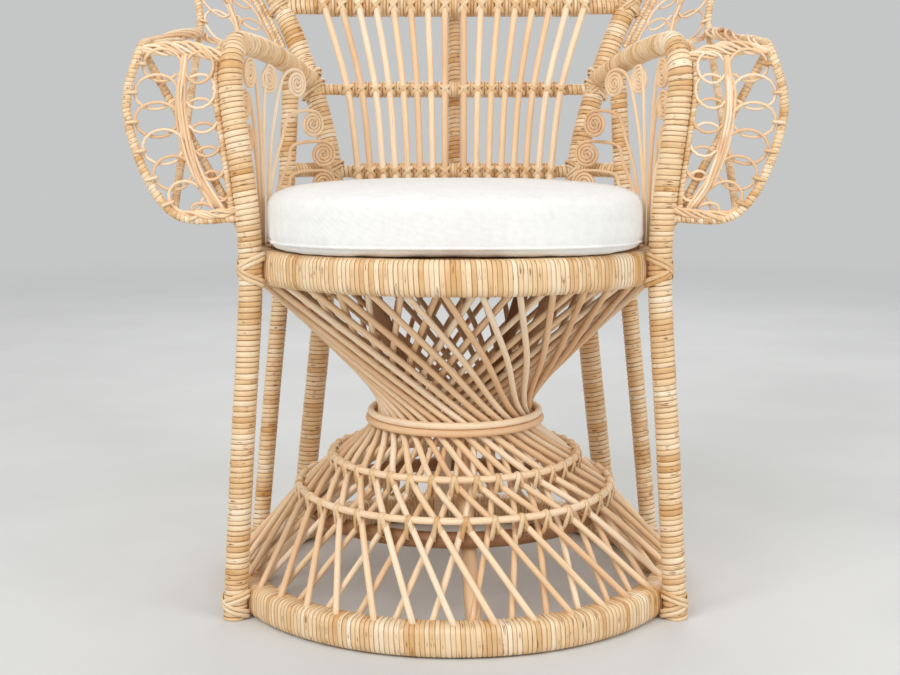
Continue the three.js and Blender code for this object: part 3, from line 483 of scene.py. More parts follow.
def canvas(name):
    """Bleached cotton canvas. It is matt and soft, its plain weave of 0.9 mm threads drawn at 2 mm to show,
    with slubs, soft creases about 30 mm apart and the faint grey of handling."""
    material, tree, cloth = finish(name)
    place = add(tree, "ShaderNodeTexCoord").outputs["Object"]
    thread_scale = 1 / (THREAD_PITCH * 2 * math.pi)
    heights = []
    for turn in ((0.0, 0.0, 0.0), (0.0, 0.0, math.pi / 2)):
        way = add(tree, "ShaderNodeMapping", {"Vector": place, "Rotation": turn})
        leaned = add(
            tree, "ShaderNodeVectorMath",
            {0: way.outputs[0], 1: (1.0, 0.12, 0.6)}, operation="DOT_PRODUCT",
        )
        line = add(tree, "ShaderNodeCombineXYZ", {"X": leaned.outputs["Value"]})
        threads = add(
            tree, "ShaderNodeTexWave",
            {"Vector": line.outputs[0], "Scale": thread_scale, "Distortion": 0.6},
        )
        heights.append(threads.outputs["Fac"])
    weave = add(tree, "ShaderNodeMath", {0: heights[0], 1: heights[1]}, operation="MULTIPLY")
    slubs = add(tree, "ShaderNodeTexNoise", {"Vector": place, "Scale": 140.0, "Detail": 4.0})
    relief = add(tree, "ShaderNodeMath", {0: weave.outputs[0], 1: slubs.outputs["Fac"]}, operation="ADD")
    soil = add(tree, "ShaderNodeTexNoise", {"Vector": place, "Scale": 9.0, "Detail": 3.0})
    body = shades(tree, soil.outputs["Fac"], (0.3, "#e9e8e6"), (0.6, "#eeedeb"))
    shade = shades(tree, slubs.outputs["Fac"], (0.35, "#f8f8f7"), (0.6, "#ffffff"))
    colour = add(
        tree, "ShaderNodeMix",
        {"Factor": 0.7, "A": body, "B": shade}, data_type="RGBA", blend_type="MULTIPLY",
    )
    crease_place = add(tree, "ShaderNodeMapping", {"Vector": place, "Scale": (1.0, 1.0, 0.4)})
    crease = add(
        tree, "ShaderNodeTexNoise",
        {"Vector": crease_place.outputs[0], "Scale": 34.0, "Detail": 2.0, "Distortion": 0.6},
    )
    soft = add(tree, "ShaderNodeBump", {"Height": crease.outputs["Fac"], "Strength": 0.35, "Distance": 0.004})
    bump = add(
        tree, "ShaderNodeBump",
        {"Height": relief.outputs[0], "Strength": 0.3, "Distance": 0.0006, "Normal": soft.outputs["Normal"]},
    )
    tree.links.new(colour.outputs["Result"], cloth.inputs["Base Color"])
    tree.links.new(bump.outputs["Normal"], cloth.inputs["Normal"])
    cloth.inputs["Roughness"].default_value = 0.92
    cloth.inputs["Sheen Weight"].default_value = 0.15
    return material


def floor_paint(name):
    """Painted floor. It is matt with faint clouds, and fades into the sky far off, so that no horizon shows."""
    material, tree, paint = finish(name)
    place = add(tree, "ShaderNodeTexCoord").outputs["Object"]
    clouds = add(tree, "ShaderNodeTexNoise", {"Vector": place, "Scale": 3.0, "Detail": 6.0})
    tint = shades(tree, clouds.outputs["Fac"], (0.35, "#d6d7d6"), (0.65, "#dcdddc"))
    away = add(tree, "ShaderNodeVectorMath", {0: place}, operation="LENGTH")
    far = add(
        tree, "ShaderNodeMapRange",
        {"Value": away.outputs["Value"], "From Min": FLOOR_FADE[0], "From Max": FLOOR_FADE[1]},
        interpolation_type="SMOOTHSTEP",
    )
    sky = add(tree, "ShaderNodeEmission", {"Color": linear(SKY), "Strength": SKY_STRENGTH})
    fade = add(
        tree, "ShaderNodeMixShader",
        {0: far.outputs["Result"], 1: paint.outputs[0], 2: sky.outputs[0]},
    )
    tree.links.new(tint, paint.inputs["Base Color"])
    paint.inputs["Roughness"].default_value = 0.8
    tree.links.new(fade.outputs[0], tree.nodes["Material Output"].inputs["Surface"])
    return material


# The first colour is painted shade in the grooves between turns; the other three are the peel's own honey
# colours
PEEL = cane_peel("cane_peel", "#935e28", "#d9a565", "#f4d3a6", "#fdebcd")
CORE = cane_core("peeled_core", "#e5bb90", "#f3d3ab", "#fce8cc", "#c79a68", 0.55)
BROWN = cane_core("smoked_pole", "#8c6242", "#a67b56", "#bd936b", "#74502f", 0.5)
CANVAS = canvas("cotton_canvas")


# Lines that canes follow
def polar(angle, radius, height, side=1):
    turn = math.radians(angle)
    return (side * radius * math.sin(turn), -radius * math.cos(turn), height)


def smooth(points, per_span=14):
    """An even curve through the points, slower round tight bends."""
    p = np.array(points, float)
    p = np.vstack([2 * p[0] - p[1], p, 2 * p[-1] - p[-2]])
    gap = np.linalg.norm(np.diff(p, axis=0), axis=1) ** 0.5
    t = np.linspace(0, 1, per_span, endpoint=False)[:, None]
    spans = []
    for i in range(1, len(p) - 2):
        before, here, after = gap[i - 1:i + 2]
        rise = p[i + 1] - p[i]
        leave = here * ((p[i] - p[i - 1]) / before - (p[i + 1] - p[i - 1]) / (before + here) + rise / here)
        reach = here * (rise / here - (p[i + 2] - p[i]) / (here + after) + (p[i + 2] - p[i + 1]) / after)
        spans.append(
            p[i] + t * leave + t ** 2 * (3 * rise - 2 * leave - reach) + t ** 3 * (leave + reach - 2 * rise)
        )
    return np.vstack([*spans, p[-2]])


def circle(radius, height, points=144):
    return np.array([polar(180 + 360 * i / points, radius, height) for i in range(points + 1)])


def straight(*points):
    """The corners of a run, with points between them."""
    ends = np.array(points, float)
    share = np.linspace(0, 1, 8, endpoint=False)[:, None]
    return np.vstack([a + (b - a) * share for a, b in zip(ends, ends[1:])] + [ends[-1]])


class Run:
    """A line for a cane to follow, with the directions across it."""

    def __init__(self, points, across=(0, 0, 1), closed=False):
        self.points = np.array(points, float)
        self.closed = closed
        steps = np.linalg.norm(np.diff(self.points, axis=0), axis=1)
        self.reach = np.concatenate([[0.0], np.cumsum(steps)])
        self.length = self.reach[-1]
        along = np.gradient(self.points, self.reach, axis=0)
        if closed:
            along[0] = along[-1] = self.points[1] - self.points[-2]
        self.along = along / np.linalg.norm(along, axis=1)[:, None]
        side = np.cross(np.broadcast_to(np.array(across, float), along.shape), self.along)
        self.side = side / np.linalg.norm(side, axis=1)[:, None]
        self.up = np.cross(self.along, self.side)

    def at(self, lengths, table):
        return np.stack([np.interp(lengths, self.reach, table[:, k]) for k in range(3)], axis=1)

    def bend(self, flat):
        lengths = flat[:, 2] % self.length if self.closed else flat[:, 2]
        spots = self.at(lengths, self.points)
        return spots + flat[:, :1] * self.at(lengths, self.side) + flat[:, 1:2] * self.at(lengths, self.up)

    def point(self, share):
        return self.at(np.array([share * self.length]), self.points)[0]

    def direction(self, share):
        return self.at(np.array([share * self.length]), self.along)[0]


# Winding and laying of canes
def new_form():
    form = bmesh.new()
    form.verts.layers.float_vector.new("lie")
    return form


def settle(form, part, run, notes):
    """Bends a straight part along its run, notes on each point how the cane lies there, and adds it."""
    flat = np.array([vert.co for vert in part.verts])
    layer = part.verts.layers.float_vector.new("lie")
    spots = (run.bend(flat) + (0, AXIS_Y, 0)) / 1000
    for vert, spot, note in zip(part.verts, spots.tolist(), notes.tolist()):
        vert.co = spot
        vert[layer] = note
    if run.closed:
        bmesh.ops.remove_doubles(part, verts=part.verts, dist=5e-6)
    mesh = bpy.data.meshes.new("part")
    part.to_mesh(mesh)
    part.free()
    form.from_mesh(mesh)
    bpy.data.meshes.remove(mesh)


def stray(turns, closed):
    """How far each turn of a strip lies from its even place, as a share of the strip's width."""
    slips = [chance.uniform(-PEEL_STRAY, PEEL_STRAY) for _ in range(turns + 1)]
    if closed:
        slips[-1] = slips[0]
    else:
        slips[:3] = slips[-3:] = [0.0] * 3

    def slip(turn):
        return np.interp(turn % turns if closed else turn, np.arange(len(slips)), slips)
    return slip


def wind(form, run, radius, peel=POLE_PEEL, sides=14, section=None):
    """A pole or ring wound from end to end with one strip of peel, a groove between its turns."""
    groove = peel["groove"]
    turns = max(3, round(run.length / peel["width"]))
    width = run.length / turns
    spare = 0 if run.closed else 1
    part = bmesh.new()
    chain = [
        part.verts.new((radius - groove * drop, 0, (turn + share) * width))
        for turn in range(-spare, turns + spare) for share, drop in PEEL_BOW
    ]
    chain.append(part.verts.new((radius - groove, 0, (turns + spare) * width)))
    edges = [part.edges.new(pair) for pair in zip(chain, chain[1:])]
    bmesh.ops.spin(
        part, geom=chain + edges, cent=(0, 0, 0), axis=(0, 0, 1), dvec=(0, 0, width / sides),
        angle=2 * math.pi, steps=sides, use_merge=False, use_duplicate=False,
    )
    bmesh.ops.remove_doubles(part, verts=part.verts, dist=0.002)
    if not run.closed:
        for height, way in ((0.0, 1), (run.length, -1)):
            bmesh.ops.bisect_plane(
                part, geom=part.verts[:] + part.edges[:] + part.faces[:], plane_co=(0, 0, height),
                plane_no=(0, 0, way), clear_inner=True,
            )
        bmesh.ops.holes_fill(part, edges=[edge for edge in part.edges if edge.is_boundary], sides=0)
    flat = np.array([vert.co for vert in part.verts])
    turned = np.arctan2(flat[:, 1], flat[:, 0]) % (2 * math.pi) / (2 * math.pi)
    turned[turned > 0.9999] = 0.0
    strip = flat[:, 2] / width - turned + 0.001
    across = strip - np.floor(strip)
    start = np.floor(strip) + turned
    seed = chance.uniform(0, PEEL_LOTS)
    # The painted groove shade follows the crest: 0 in the groove, 1 mid-strip, never below the seam share
    crest = np.maximum(peel["seam"], 1 - np.abs(2 * across - 1))
    notes = np.stack([start + seed, crest, np.full(len(flat), chance.random())], axis=1)
    slip = stray(turns, run.closed)
    slid = width * ((1 - across) * slip(start) + across * slip(start + 1))
    for vert, slide in zip(part.verts, slid.tolist()):
        vert.co.z += slide
    if section:
        stretch = section(turned * 2 * math.pi) / radius
        for vert, grow in zip(part.verts, stretch.tolist()):
            vert.co.x *= grow
            vert.co.y *= grow
    settle(form, part, run, notes)


def cane(form, run, radius, sides=8, steps=24, thick=1.0, peel=False):
    """A bare cane, or a strip of peel whose thickness is a share of its width."""
    part = bmesh.new()
    bmesh.ops.create_cone(
        part, cap_ends=not run.closed, cap_tris=False, segments=sides, radius1=radius, radius2=radius,
        depth=run.length, matrix=Matrix.Translation((0, 0, run.length / 2)),
    )
    tall = [edge for edge in part.edges if abs(edge.verts[0].co.z - edge.verts[1].co.z) > run.length / 2]
    bmesh.ops.subdivide_edges(part, edges=tall, cuts=steps - 1)
    flat = np.array([vert.co for vert in part.verts])
    turned = np.arctan2(flat[:, 1], flat[:, 0])
    first = CANE_SPACING * chance.randrange(CANE_LOTS)
    notes = np.stack([first + flat[:, 2] / 1000, np.cos(turned), np.sin(turned)], axis=1)
    if peel:
        drift = chance.uniform(0, PEEL_LOTS) + flat[:, 2] / STRIP_DRIFT
        notes = np.stack([drift, np.full(len(flat), STRIP_CREST), turned], axis=1)
    bmesh.ops.scale(part, vec=(1, thick, 1), verts=part.verts)
    settle(form, part, run, notes)


def lay_ring(form, radius, height, cane_radius, sides, steps):
    """A level ring bent from one cane."""
    cane(form, Run(circle(radius, height), closed=True), cane_radius, sides=sides, steps=steps)


def tie(form, centre, first, second, half_width, thick):
    """A strip that goes once round what it holds, as an oval with the given half axes."""
    angles = np.linspace(0, 2 * math.pi, 25)[:, None]
    outward = np.cos(angles) * first + np.sin(angles) * second
    run = Run(centre + outward, across=outward, closed=True)
    cane(form, run, half_width, sides=5, steps=16, thick=thick, peel=True)


def lay_strip(form, run, steps, half_width=STRIP_HALF_WIDTH):
    cane(form, run, half_width, sides=6, steps=steps, thick=STRIP_THICK, peel=True)


def show(name, form, material, body="chair", stands_for=(), floor=False):
    """Makes the form a piece that rides on its body."""
    if floor:
        bmesh.ops.bisect_plane(
            form, geom=form.verts[:] + form.edges[:] + form.faces[:], plane_co=(0, 0, 0), plane_no=(0, 0, 1),
            clear_inner=True,
        )
        bmesh.ops.holes_fill(form, edges=[edge for edge in form.edges if edge.is_boundary], sides=0)
    bmesh.ops.recalc_face_normals(form, faces=form.faces)
    mesh = bpy.data.meshes.new(name)
    form.to_mesh(mesh)
    form.free()
    mesh.shade_smooth()
    mesh.materials.append(material)
    piece = bpy.data.objects.new(name, mesh)
    bpy.context.scene.collection.objects.link(piece)
    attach(piece, body)
    if stands_for:
        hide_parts(*stands_for)
    return piece


def show_peel(name, form, *nodes, floor=False):
    show(name, form, PEEL, stands_for=nodes, floor=floor)


def show_core(name, form, *nodes, floor=False):
    show(name, form, CORE, stands_for=nodes, floor=floor)


def show_wound(name, node, run, radius, floor=False, **winding):
    """One wound pole as a piece of its own."""
    form = new_form()
    wind(form, run, radius, **winding)
    show_peel(name, form, node, floor=floor)


# Shared places
def beside(ring, radius):
    return ring["radius"] + radius - POLE_SEAT


REAR_Y = polar(REAR_LEG_ANGLES[1], beside(SEAT_RING, HOOP_RADIUS), 0)[1]
BACK_NORMAL = np.array((0, math.cos(BACK_LEAN), -math.sin(BACK_LEAN)))
BACK_UP = np.array((0, math.sin(BACK_LEAN), math.cos(BACK_LEAN)))


def back_y(height):
    return REAR_Y + math.tan(BACK_LEAN) * (height - SEAT_HEIGHT)


def on_back(x, height):
    return np.array((x, back_y(height), height))


def pole_foot(side, radius, foot_angle, seat_angle):
    """The straight part of a pole, from under the floor up to the seat ring."""
    low = np.array(polar(foot_angle, beside(BASE_RING, radius), BASE_RING["middle"], side))
    high = np.array(polar(seat_angle, beside(SEAT_RING, radius), SEAT_RING["middle"], side))
    foot = low - (high - low) * POLE_OVERRUN / (SEAT_RING["middle"] - BASE_RING["middle"])
    return [foot, high]


def arch(widest_x, widest_height, top):
    rise = top - widest_height
    turns = [math.radians(turn) for turn in (30, 60, 90)]
    return [on_back(widest_x * math.cos(a), widest_height + rise * math.sin(a)) for a in turns]


def both_sides(half):
    return list(half) + [np.array(p) * (-1, 1, 1) for p in reversed(half[:-1])]


upper_hoop_half = [on_back(*s) for s in HOOP_STATIONS[1:]] + arch(*HOOP_STATIONS[-1], HOOP_TOP)
lower_hoop_half = pole_foot(1, HOOP_RADIUS, *REAR_LEG_ANGLES) + [on_back(*HOOP_STATIONS[0])]
hoop_run = Run(smooth(both_sides(lower_hoop_half + upper_hoop_half)), across=BACK_NORMAL)
upper_hoop_run = Run(smooth(both_sides(upper_hoop_half)), across=BACK_NORMAL)
rim_half = [on_back(*s) for s in FAN_STATIONS] + arch(*FAN_STATIONS[-1], FAN_TOP)
rim_run = Run(smooth(both_sides(rim_half)), across=BACK_NORMAL)


def hoop_x(height):
    half = hoop_run.points[:len(hoop_run.points) // 2]
    return float(np.interp(height, half[:, 2], half[:, 0]))


arm_end = on_back(hoop_x(ARM_REAR_HEIGHT), ARM_REAR_HEIGHT)


def arm_run(side):
    foot, seat = pole_foot(side, ARM_POLE_RADIUS, ARM_POLE_ANGLE, ARM_POLE_ANGLE)
    swell_x, swell_height = ARM_SWELL
    bend = [(side * (swell_x - i), ARM_FRONT_Y + b, ARM_TOP_HEIGHT - d) for i, b, d in ARM_BEND]
    middle = (side * (swell_x + arm_end[0]) / 2, (ARM_FRONT_Y + arm_end[1]) / 2, ARM_TOP_HEIGHT - ARM_SAG)
    end = (side * arm_end[0], arm_end[1] - HOOP_RADIUS / 2, ARM_REAR_HEIGHT)
    return Run(smooth([
        foot, (foot + seat) / 2, seat, (side * ARM_WAIST[0], seat[1], ARM_WAIST[1]),
        (side * swell_x, ARM_FRONT_Y, swell_height), *bend, middle, end,
    ]), across=(1, 0, 0))


arm_runs = {name: arm_run(side) for name, side in SIDES}


def arm_at(name, height):
    points = arm_runs[name].points
    return points[np.argmax(points[:, 2] >= height)]


def rail_at(name, y):
    rail = arm_runs[name].points
    rail = rail[np.argmax(rail[:, 2]):]
    return np.array([np.interp(y, rail[:, 1], rail[:, k]) for k in range(3)])


def side_pole_points(name, side):
    foot, seat = pole_foot(side, SIDE_POLE_RADIUS, *SIDE_POLE_ANGLES)
    return foot, seat, rail_at(name, SIDE_POLE_TOP_Y)


# Rings and the hourglass
def ring_section(ring):
    """Radius of a rounded oblong, turned round the ring's own line."""
    half_width, half_height = ring["width"] / 2, ring["height"] / 2

    def reach(turn):
        out = np.abs(np.cos(turn)) / half_width
        up = np.abs(np.sin(turn)) / half_height
        return (out ** RING_SQUARENESS + up ** RING_SQUARENESS) ** (-1 / RING_SQUARENESS)
    return reach


def make_ring(name, ring, node):
    run = Run(circle(ring["radius"] - ring["width"] / 2, ring["middle"]), closed=True)
    show_wound(name, node, run, RING_ROUND, peel=RING_PEEL, sides=22, section=ring_section(ring))


def make_weave():
    form = new_form()
    for stations, way, phase in ((WEAVE_OUTER, 1, 0), (WEAVE_INNER, -1, INNER_PHASE)):
        for i in range(WEAVE_CANES):
            first = 360 * i / WEAVE_CANES + phase + chance.uniform(-WEAVE_STRAY, WEAVE_STRAY)
            line = [polar(first + way * turn, radius, height) for radius, height, turn in stations]
            cane_radius = WEAVE_RADIUS * chance.uniform(*WEAVE_THICKNESS)
            cane(form, Run(smooth(line, 7)), cane_radius, sides=8, steps=36)
    show_core("hourglass_canes", form)


def make_hoops():
    form = new_form()
    ties = new_form()
    slope_up = 1 / math.sqrt(2)
    for hoop in (UPPER_HOOP, LOWER_HOOP):
        lay_ring(form, hoop["radius"], hoop["height"], HOOP_CANE_RADIUS, 10, 120)
        for i in range(WEAVE_CANES):
            angle = 360 * i / WEAVE_CANES + hoop["turn"]
            out = np.array(polar(angle, 1, 0))
            round_it = np.cross((0, 0, 1), out)
            normal = (out + (0, 0, 1)) * slope_up
            down = (out - (0, 0, 1)) * slope_up
            centre = np.array(polar(angle, hoop["radius"], hoop["height"]))
            for lean, places in HOOP_TIES:
                turn = math.radians(lean + chance.uniform(-HOOP_TIE_STRAY, HOOP_TIE_STRAY))
                way = down * math.cos(turn) + round_it * math.sin(turn)
                path = smooth([centre + way * d + normal * n for d, n in places], 3)
                run = Run(path, across=path - path.mean(axis=0), closed=True)
                lay_strip(ties, run, 24, HOOP_TIE_HALF_WIDTH)
    show_core("skirt_hoops", form, "upper_hoop", "lower_hoop")
    show_peel("skirt_ties", ties)

    form = new_form()
    for rise in (-1, 1):
        radius = WAIST_RING["radius"] - rise * WAIST_RING["spread"]
        height = WAIST_RING["height"] + rise * WAIST_RING["cane"]
        lay_ring(form, radius, height, WAIST_RING["cane"], 12, 110)
    show_core("waist_band", form, "waist_ring")
    form = new_form()
    lay_ring(form, INNER_WAIST["radius"], INNER_WAIST["height"], HOOP_CANE_RADIUS, 8, 80)
    show_core("inner_waist_cane", form, "inner_waist_hoop")


def make_inner_frame():
    struts, poles = new_form(), new_form()
    for i in range(4):
        angle = POST_FIRST_ANGLE + 90 * i
        for form, turn, foot, head in (
            (struts, angle, STRUT_FOOT, POST_WAIST), (poles, angle + 45, POST_WAIST, POST_HEAD),
        ):
            cane(form, Run(straight(polar(turn, *foot), polar(turn, *head))), POST_RADIUS, sides=12)
    show_core("inner_struts", struts, *[f"inner_strut_{i}" for i in range(1, 5)], floor=True)
    lay_ring(poles, INNER_RING["radius"], INNER_RING["height"], INNER_RING["cane"], 12, 120)
    for y in BEARER_PLACES:
        ends = [(x, y, BEARER["height"]) for x in (-BEARER["half_length"], BEARER["half_length"])]
        cane(poles, Run(straight(*ends)), BEARER["radius"], sides=12)
    nodes = [f"inner_pole_{i}" for i in range(1, 5)] + ["inner_ring", "seat_bearer_1", "seat_bearer_2"]
    show("inner_poles", poles, BROWN, stands_for=nodes)


def make_deck():
    """Split poles laid side by side across the seat, inside the ring."""
    form = new_form()
    middle = SEAT_HEIGHT - DECK_THICKNESS / 2
    count = int(2 * DECK_RADIUS / DECK_CANE_WIDTH)
    for i in range(count):
        y = DECK_CANE_WIDTH * (i - (count - 1) / 2)
        reach = math.sqrt(DECK_RADIUS ** 2 - (abs(y) + DECK_CANE_WIDTH / 2) ** 2)
        run = Run(straight((-reach, y, middle), (reach, y, middle)))
        cane(form, run, DECK_CANE_WIDTH / 2, sides=10, steps=8, thick=DECK_THICKNESS / DECK_CANE_WIDTH)
    show("seat_deck_canes", form, BROWN, stands_for=("seat_deck",))


# Poles, rails and spindles
def make_poles():
    show_wound("back_hoop_wound", "back_hoop", hoop_run, HOOP_RADIUS, floor=True, sides=16)
    for name, side in SIDES:
        show_wound(
            f"{name}_arm_wound", f"{name}_arm_pole", arm_runs[name], ARM_POLE_RADIUS, floor=True, sides=16,
        )

        foot, seat, top = side_pole_points(name, side)
        run = Run(smooth([foot, (foot + seat) / 2, seat, (seat + top) / 2, top]), across=(1, 0, 0))
        show_wound(f"{name}_side_pole_wound", f"{name}_side_pole", run, SIDE_POLE_RADIUS, floor=True)

        start = seat + (top - seat) * (SIDE_RAIL_HEIGHT - seat[2]) / (top[2] - seat[2])
        run = Run(straight(start, on_back(side * hoop_x(SIDE_RAIL_HEIGHT), SIDE_RAIL_HEIGHT)))
        show_wound(f"{name}_side_rail_wound", f"{name}_side_rail", run, SIDE_RAIL_RADIUS)


def make_piping():
    """Thin wound canes along the outer side of each arm post, from the seat ring over the bend."""
    form = new_form()
    for name, side in SIDES:
        points = arm_runs[name].points
        first = np.argmax(points[:, 2] >= PIPING_START_HEIGHT)
        last = first + np.argmax(points[first:, 1] >= PIPING_END_Y)
        line = points[first:last] + (side * (ARM_POLE_RADIUS + PIPING_RADIUS - PIPING_SINK), PIPING_BACK, 0)
        wind(form, Run(line, across=(1, 0, 0)), PIPING_RADIUS, THIN_PEEL, sides=8)
    show_peel("arm_piping", form)


def make_rails():
    for name, rail in RAILS.items():
        x = hoop_x(rail["height"])
        run = Run(straight(on_back(-x, rail["height"]), on_back(x, rail["height"])), across=BACK_NORMAL)
        show_wound(f"{name}_rail_wound", f"{name}_back_rail", run, rail["radius"])

    line = [(0, SEAT_RING["radius"] - SEAT_RING["width"] / 2, SEAT_HEIGHT + REST_GAP)]
    for height, radius in [(r["height"], r["radius"]) for r in RAILS.values()] + [(HOOP_TOP, HOOP_RADIUS)]:
        line.append((0, back_y(height) + (radius + CENTRE_POST_RADIUS) / math.cos(BACK_LEAN), height))
    show_wound("centre_post_wound", "centre_post", Run(straight(*line), across=(1, 0, 0)), CENTRE_POST_RADIUS)

    form = new_form()
    for i in range(SUNRAYS):
        share = i / (SUNRAYS - 1)
        foot = on_back(SUNRAY_PITCH * (SUNRAYS - 1) * (0.5 - share), UPPER_RAIL["height"])
        place = SUNRAY_LOWEST + (1 - 2 * SUNRAY_LOWEST) * share
        head = hoop_run.point(place)
        ray = head - foot
        slant = np.linalg.norm(np.cross(ray / np.linalg.norm(ray), hoop_run.direction(place)))
        head = head - ray / np.linalg.norm(ray) * (HOOP_RADIUS - SUNRAY_SINK) / slant
        cane(form, Run(straight(foot, head), across=BACK_NORMAL), SUNRAY_RADIUS, steps=10)
    show_core("sunray_canes", form)


def spindle_place(side, rank, rail):
    away = (rail["radius"] + SPINDLE_RADIUS + SPINDLE_GAP) / math.cos(BACK_LEAN)
    return on_back(side * (SPINDLE_INSET + rail["pitch"] * rank), rail["height"]) - (0, away, 0)


def make_spindles():
    foot = {"height": SEAT_HEIGHT, "radius": LOWER_RAIL["radius"], "pitch": SPINDLE_FOOT_PITCH}
    form, ties = new_form(), new_form()
    for _, side in SIDES:
        for rank in range(SPINDLES_PER_SIDE):
            line = [spindle_place(side, rank, rail) for rail in (foot, *RAILS.values())]
            rise = line[3] - line[2]
            line[3] = line[2] + rise * (1 + SPINDLE_PROUD / np.linalg.norm(rise))
            cane(form, Run(smooth(line), across=(0, 1, 0)), SPINDLE_RADIUS, sides=10, steps=30)
            for rail in RAILS.values():
                lash_spindle(ties, spindle_place(side, rank, rail), rail["radius"])
                fill_gap(ties, side, rank, rail)
    nodes = [f"{name}_spindle_{i}" for name, _ in SIDES for i in range(1, SPINDLES_PER_SIDE + 1)]
    show_core("back_spindles", form, *nodes)
    show_peel("spindle_lashings", ties)


def fill_gap(form, side, rank, rail):
    """Turns of strip round a rail, packed between a spindle and the next one towards the middle."""
    outer = SPINDLE_INSET + rail["pitch"] * rank - SPINDLE_RADIUS
    inner = SPINDLE_INSET + rail["pitch"] * (rank - 1) + SPINDLE_RADIUS if rank else 0
    turns = max(1, round((outer - inner) / GAP_STRIP_PITCH))
    stand = rail["radius"] + GAP_STRIP_STAND
    for i in range(turns):
        x = inner + (outer - inner) * (i + 0.5) / turns
        centre = on_back(side * x, rail["height"])
        tie(form, centre, BACK_NORMAL * stand, BACK_UP * stand, GAP_STRIP_PITCH / 2, GAP_STRIP_THICK)


def lash_spindle(form, at, rail_radius):
    """Two strips crossed over a spindle where it lies on its rail."""
    stand = SPINDLE_RADIUS + SPINDLE_LASH_LIFT
    for way in (-1, 1):
        line = []
        for across, forward in SPINDLE_LASH_PATH:
            aside = np.array((across * (SPINDLE_RADIUS + SPINDLE_LASH_STAND), 0, 0))
            rise = BACK_UP * across * way * rail_radius * SPINDLE_LASH_SHARE
            line.append(at - BACK_NORMAL * stand * forward + aside + rise)
        lay_strip(form, Run(smooth(line, 4), across=BACK_NORMAL), 10)


def lash(form, face, out, along, radius, reach):
    """Two strips each way, crossed over a pole that lies on a face and runs along the given direction."""
    across = np.cross(along, out)
    path = LASH_PATH + tuple((-a, b, -c) for a, b, c in reversed(LASH_PATH[:-1]))
    for way in (-1, 1):
        lift = LASH_LIFT[0] + LASH_LIFT[1] * way
        for rank in (-0.5, 0.5):
            line = smooth([
                face + across * a * radius + out * (b * radius + lift)
                + along * (way * c * reach + rank * LASH_PITCH) for a, b, c in path
            ], 4)
            outward = line - (face + out * radius)
            outward -= np.outer(outward @ along, along)
            lay_strip(form, Run(line, across=outward), 16)


def bind(form, axis, out, along, radius):
    """Two strips each way, crossed round a pole."""
    across = np.cross(along, out)
    for way in (-1, 1):
        for rank in (-0.5, 0.5):
            stand = radius + BIND_LIFT[0] + BIND_LIFT[1] * way
            slant = (across + along * way * BIND_LEAN) * stand
            tie(form, axis + along * rank * BIND_PITCH, out * stand, slant, STRIP_HALF_WIDTH, STRIP_THICK)


def make_lashings():
    form = new_form()
    poles = (
        (ARM_POLE_RADIUS, (ARM_POLE_ANGLE, ARM_POLE_ANGLE)),
        (SIDE_POLE_RADIUS, SIDE_POLE_ANGLES),
        (HOOP_RADIUS, REAR_LEG_ANGLES),
    )
    upright = np.array((0, 0, 1))
    for _, side in SIDES:
        for radius, angles in poles:
            for ring, angle in ((BASE_RING, angles[0]), (SEAT_RING, angles[1])):
                face = np.array(polar(angle, ring["radius"] - POLE_SEAT, ring["middle"], side))
                out = face * (1, 1, 0) / np.linalg.norm(face[:2])
                lash(form, face, out, upright, radius, min(LASH_REACH, ring["middle"] - LASH_REST))
        for height in [rail["height"] for rail in RAILS.values()] + [ARM_REAR_HEIGHT]:
            bind(form, on_back(side * hoop_x(height), height), -BACK_NORMAL, BACK_UP, HOOP_RADIUS)
    show_peel("pole_lashings", form)


# Looped nets
def loop(form, stem, share, count, rim, depth, stand):
    """One cane that comes up the stem, goes round in a ring against the rim and runs down the stem again."""
    root = stem(share)
    out = rim - root
    width = np.linalg.norm(out)
    out = out / width
    up = stem(min(share + 0.5 / count, 1)) - stem(max(share - 0.5 / count, 0))
    half = min(LOOP_FILL * (width - stand), LOOP_HALF_LIMIT)
    middle = width - stand - half
    lift = up * LOOP_HEIGHT_SHARE + depth * LOOP_RADIUS
    turns = [math.radians(turn) for turn in LOOP_TURNS]
    ring = [root + out * (middle + half * math.cos(a)) + lift * math.sin(a) for a in turns]

    def tail():
        shift = out * chance.uniform(*LOOP_STRAY_OUT) + depth * chance.uniform(*LOOP_STRAY_DEEP)
        places = [(share - below / count, part) for below, part in LOOP_TAIL]
        return [stem(place) + shift * part for place, part in places if place > LOOP_TAIL_LOWEST]

    line = tail() + ring + tail()[::-1]
    cane_radius = LOOP_RADIUS * chance.uniform(*LOOP_THICKNESS)
    cane(form, Run(smooth(line, 4), across=depth), cane_radius, sides=5, steps=34)
    return root + out * (width - stand / 2), out


def tie_loop(form, spot, out, depth, size):
    """Ties a loop to its rim."""
    tie(form, spot, out * size["out"], depth * size["deep"], size["half_width"], TIE_THICK)


def bundle(form, points, across, count, spread, twist=BUNDLE_TWIST):
    """Canes gathered and twisted together, fuller in the middle than at their ends."""
    run = Run(smooth(points, 8), across=across)
    share = np.linspace(0, 1, len(run.points))[:, None]
    full = BUNDLE_END_SHARE + (1 - BUNDLE_END_SHARE) * np.sin(share * math.pi)
    for k in range(count):
        turn = 2 * math.pi * (k / count + twist * share + chance.uniform(-BUNDLE_STRAY, BUNDLE_STRAY))
        out = spread * chance.uniform(*BUNDLE_REACH)
        line = run.points + full * out * (run.side * np.cos(turn) + BUNDLE_FLATNESS * run.up * np.sin(turn))
        cane(form, Run(line, across=across), LOOP_RADIUS, sides=6, steps=22)


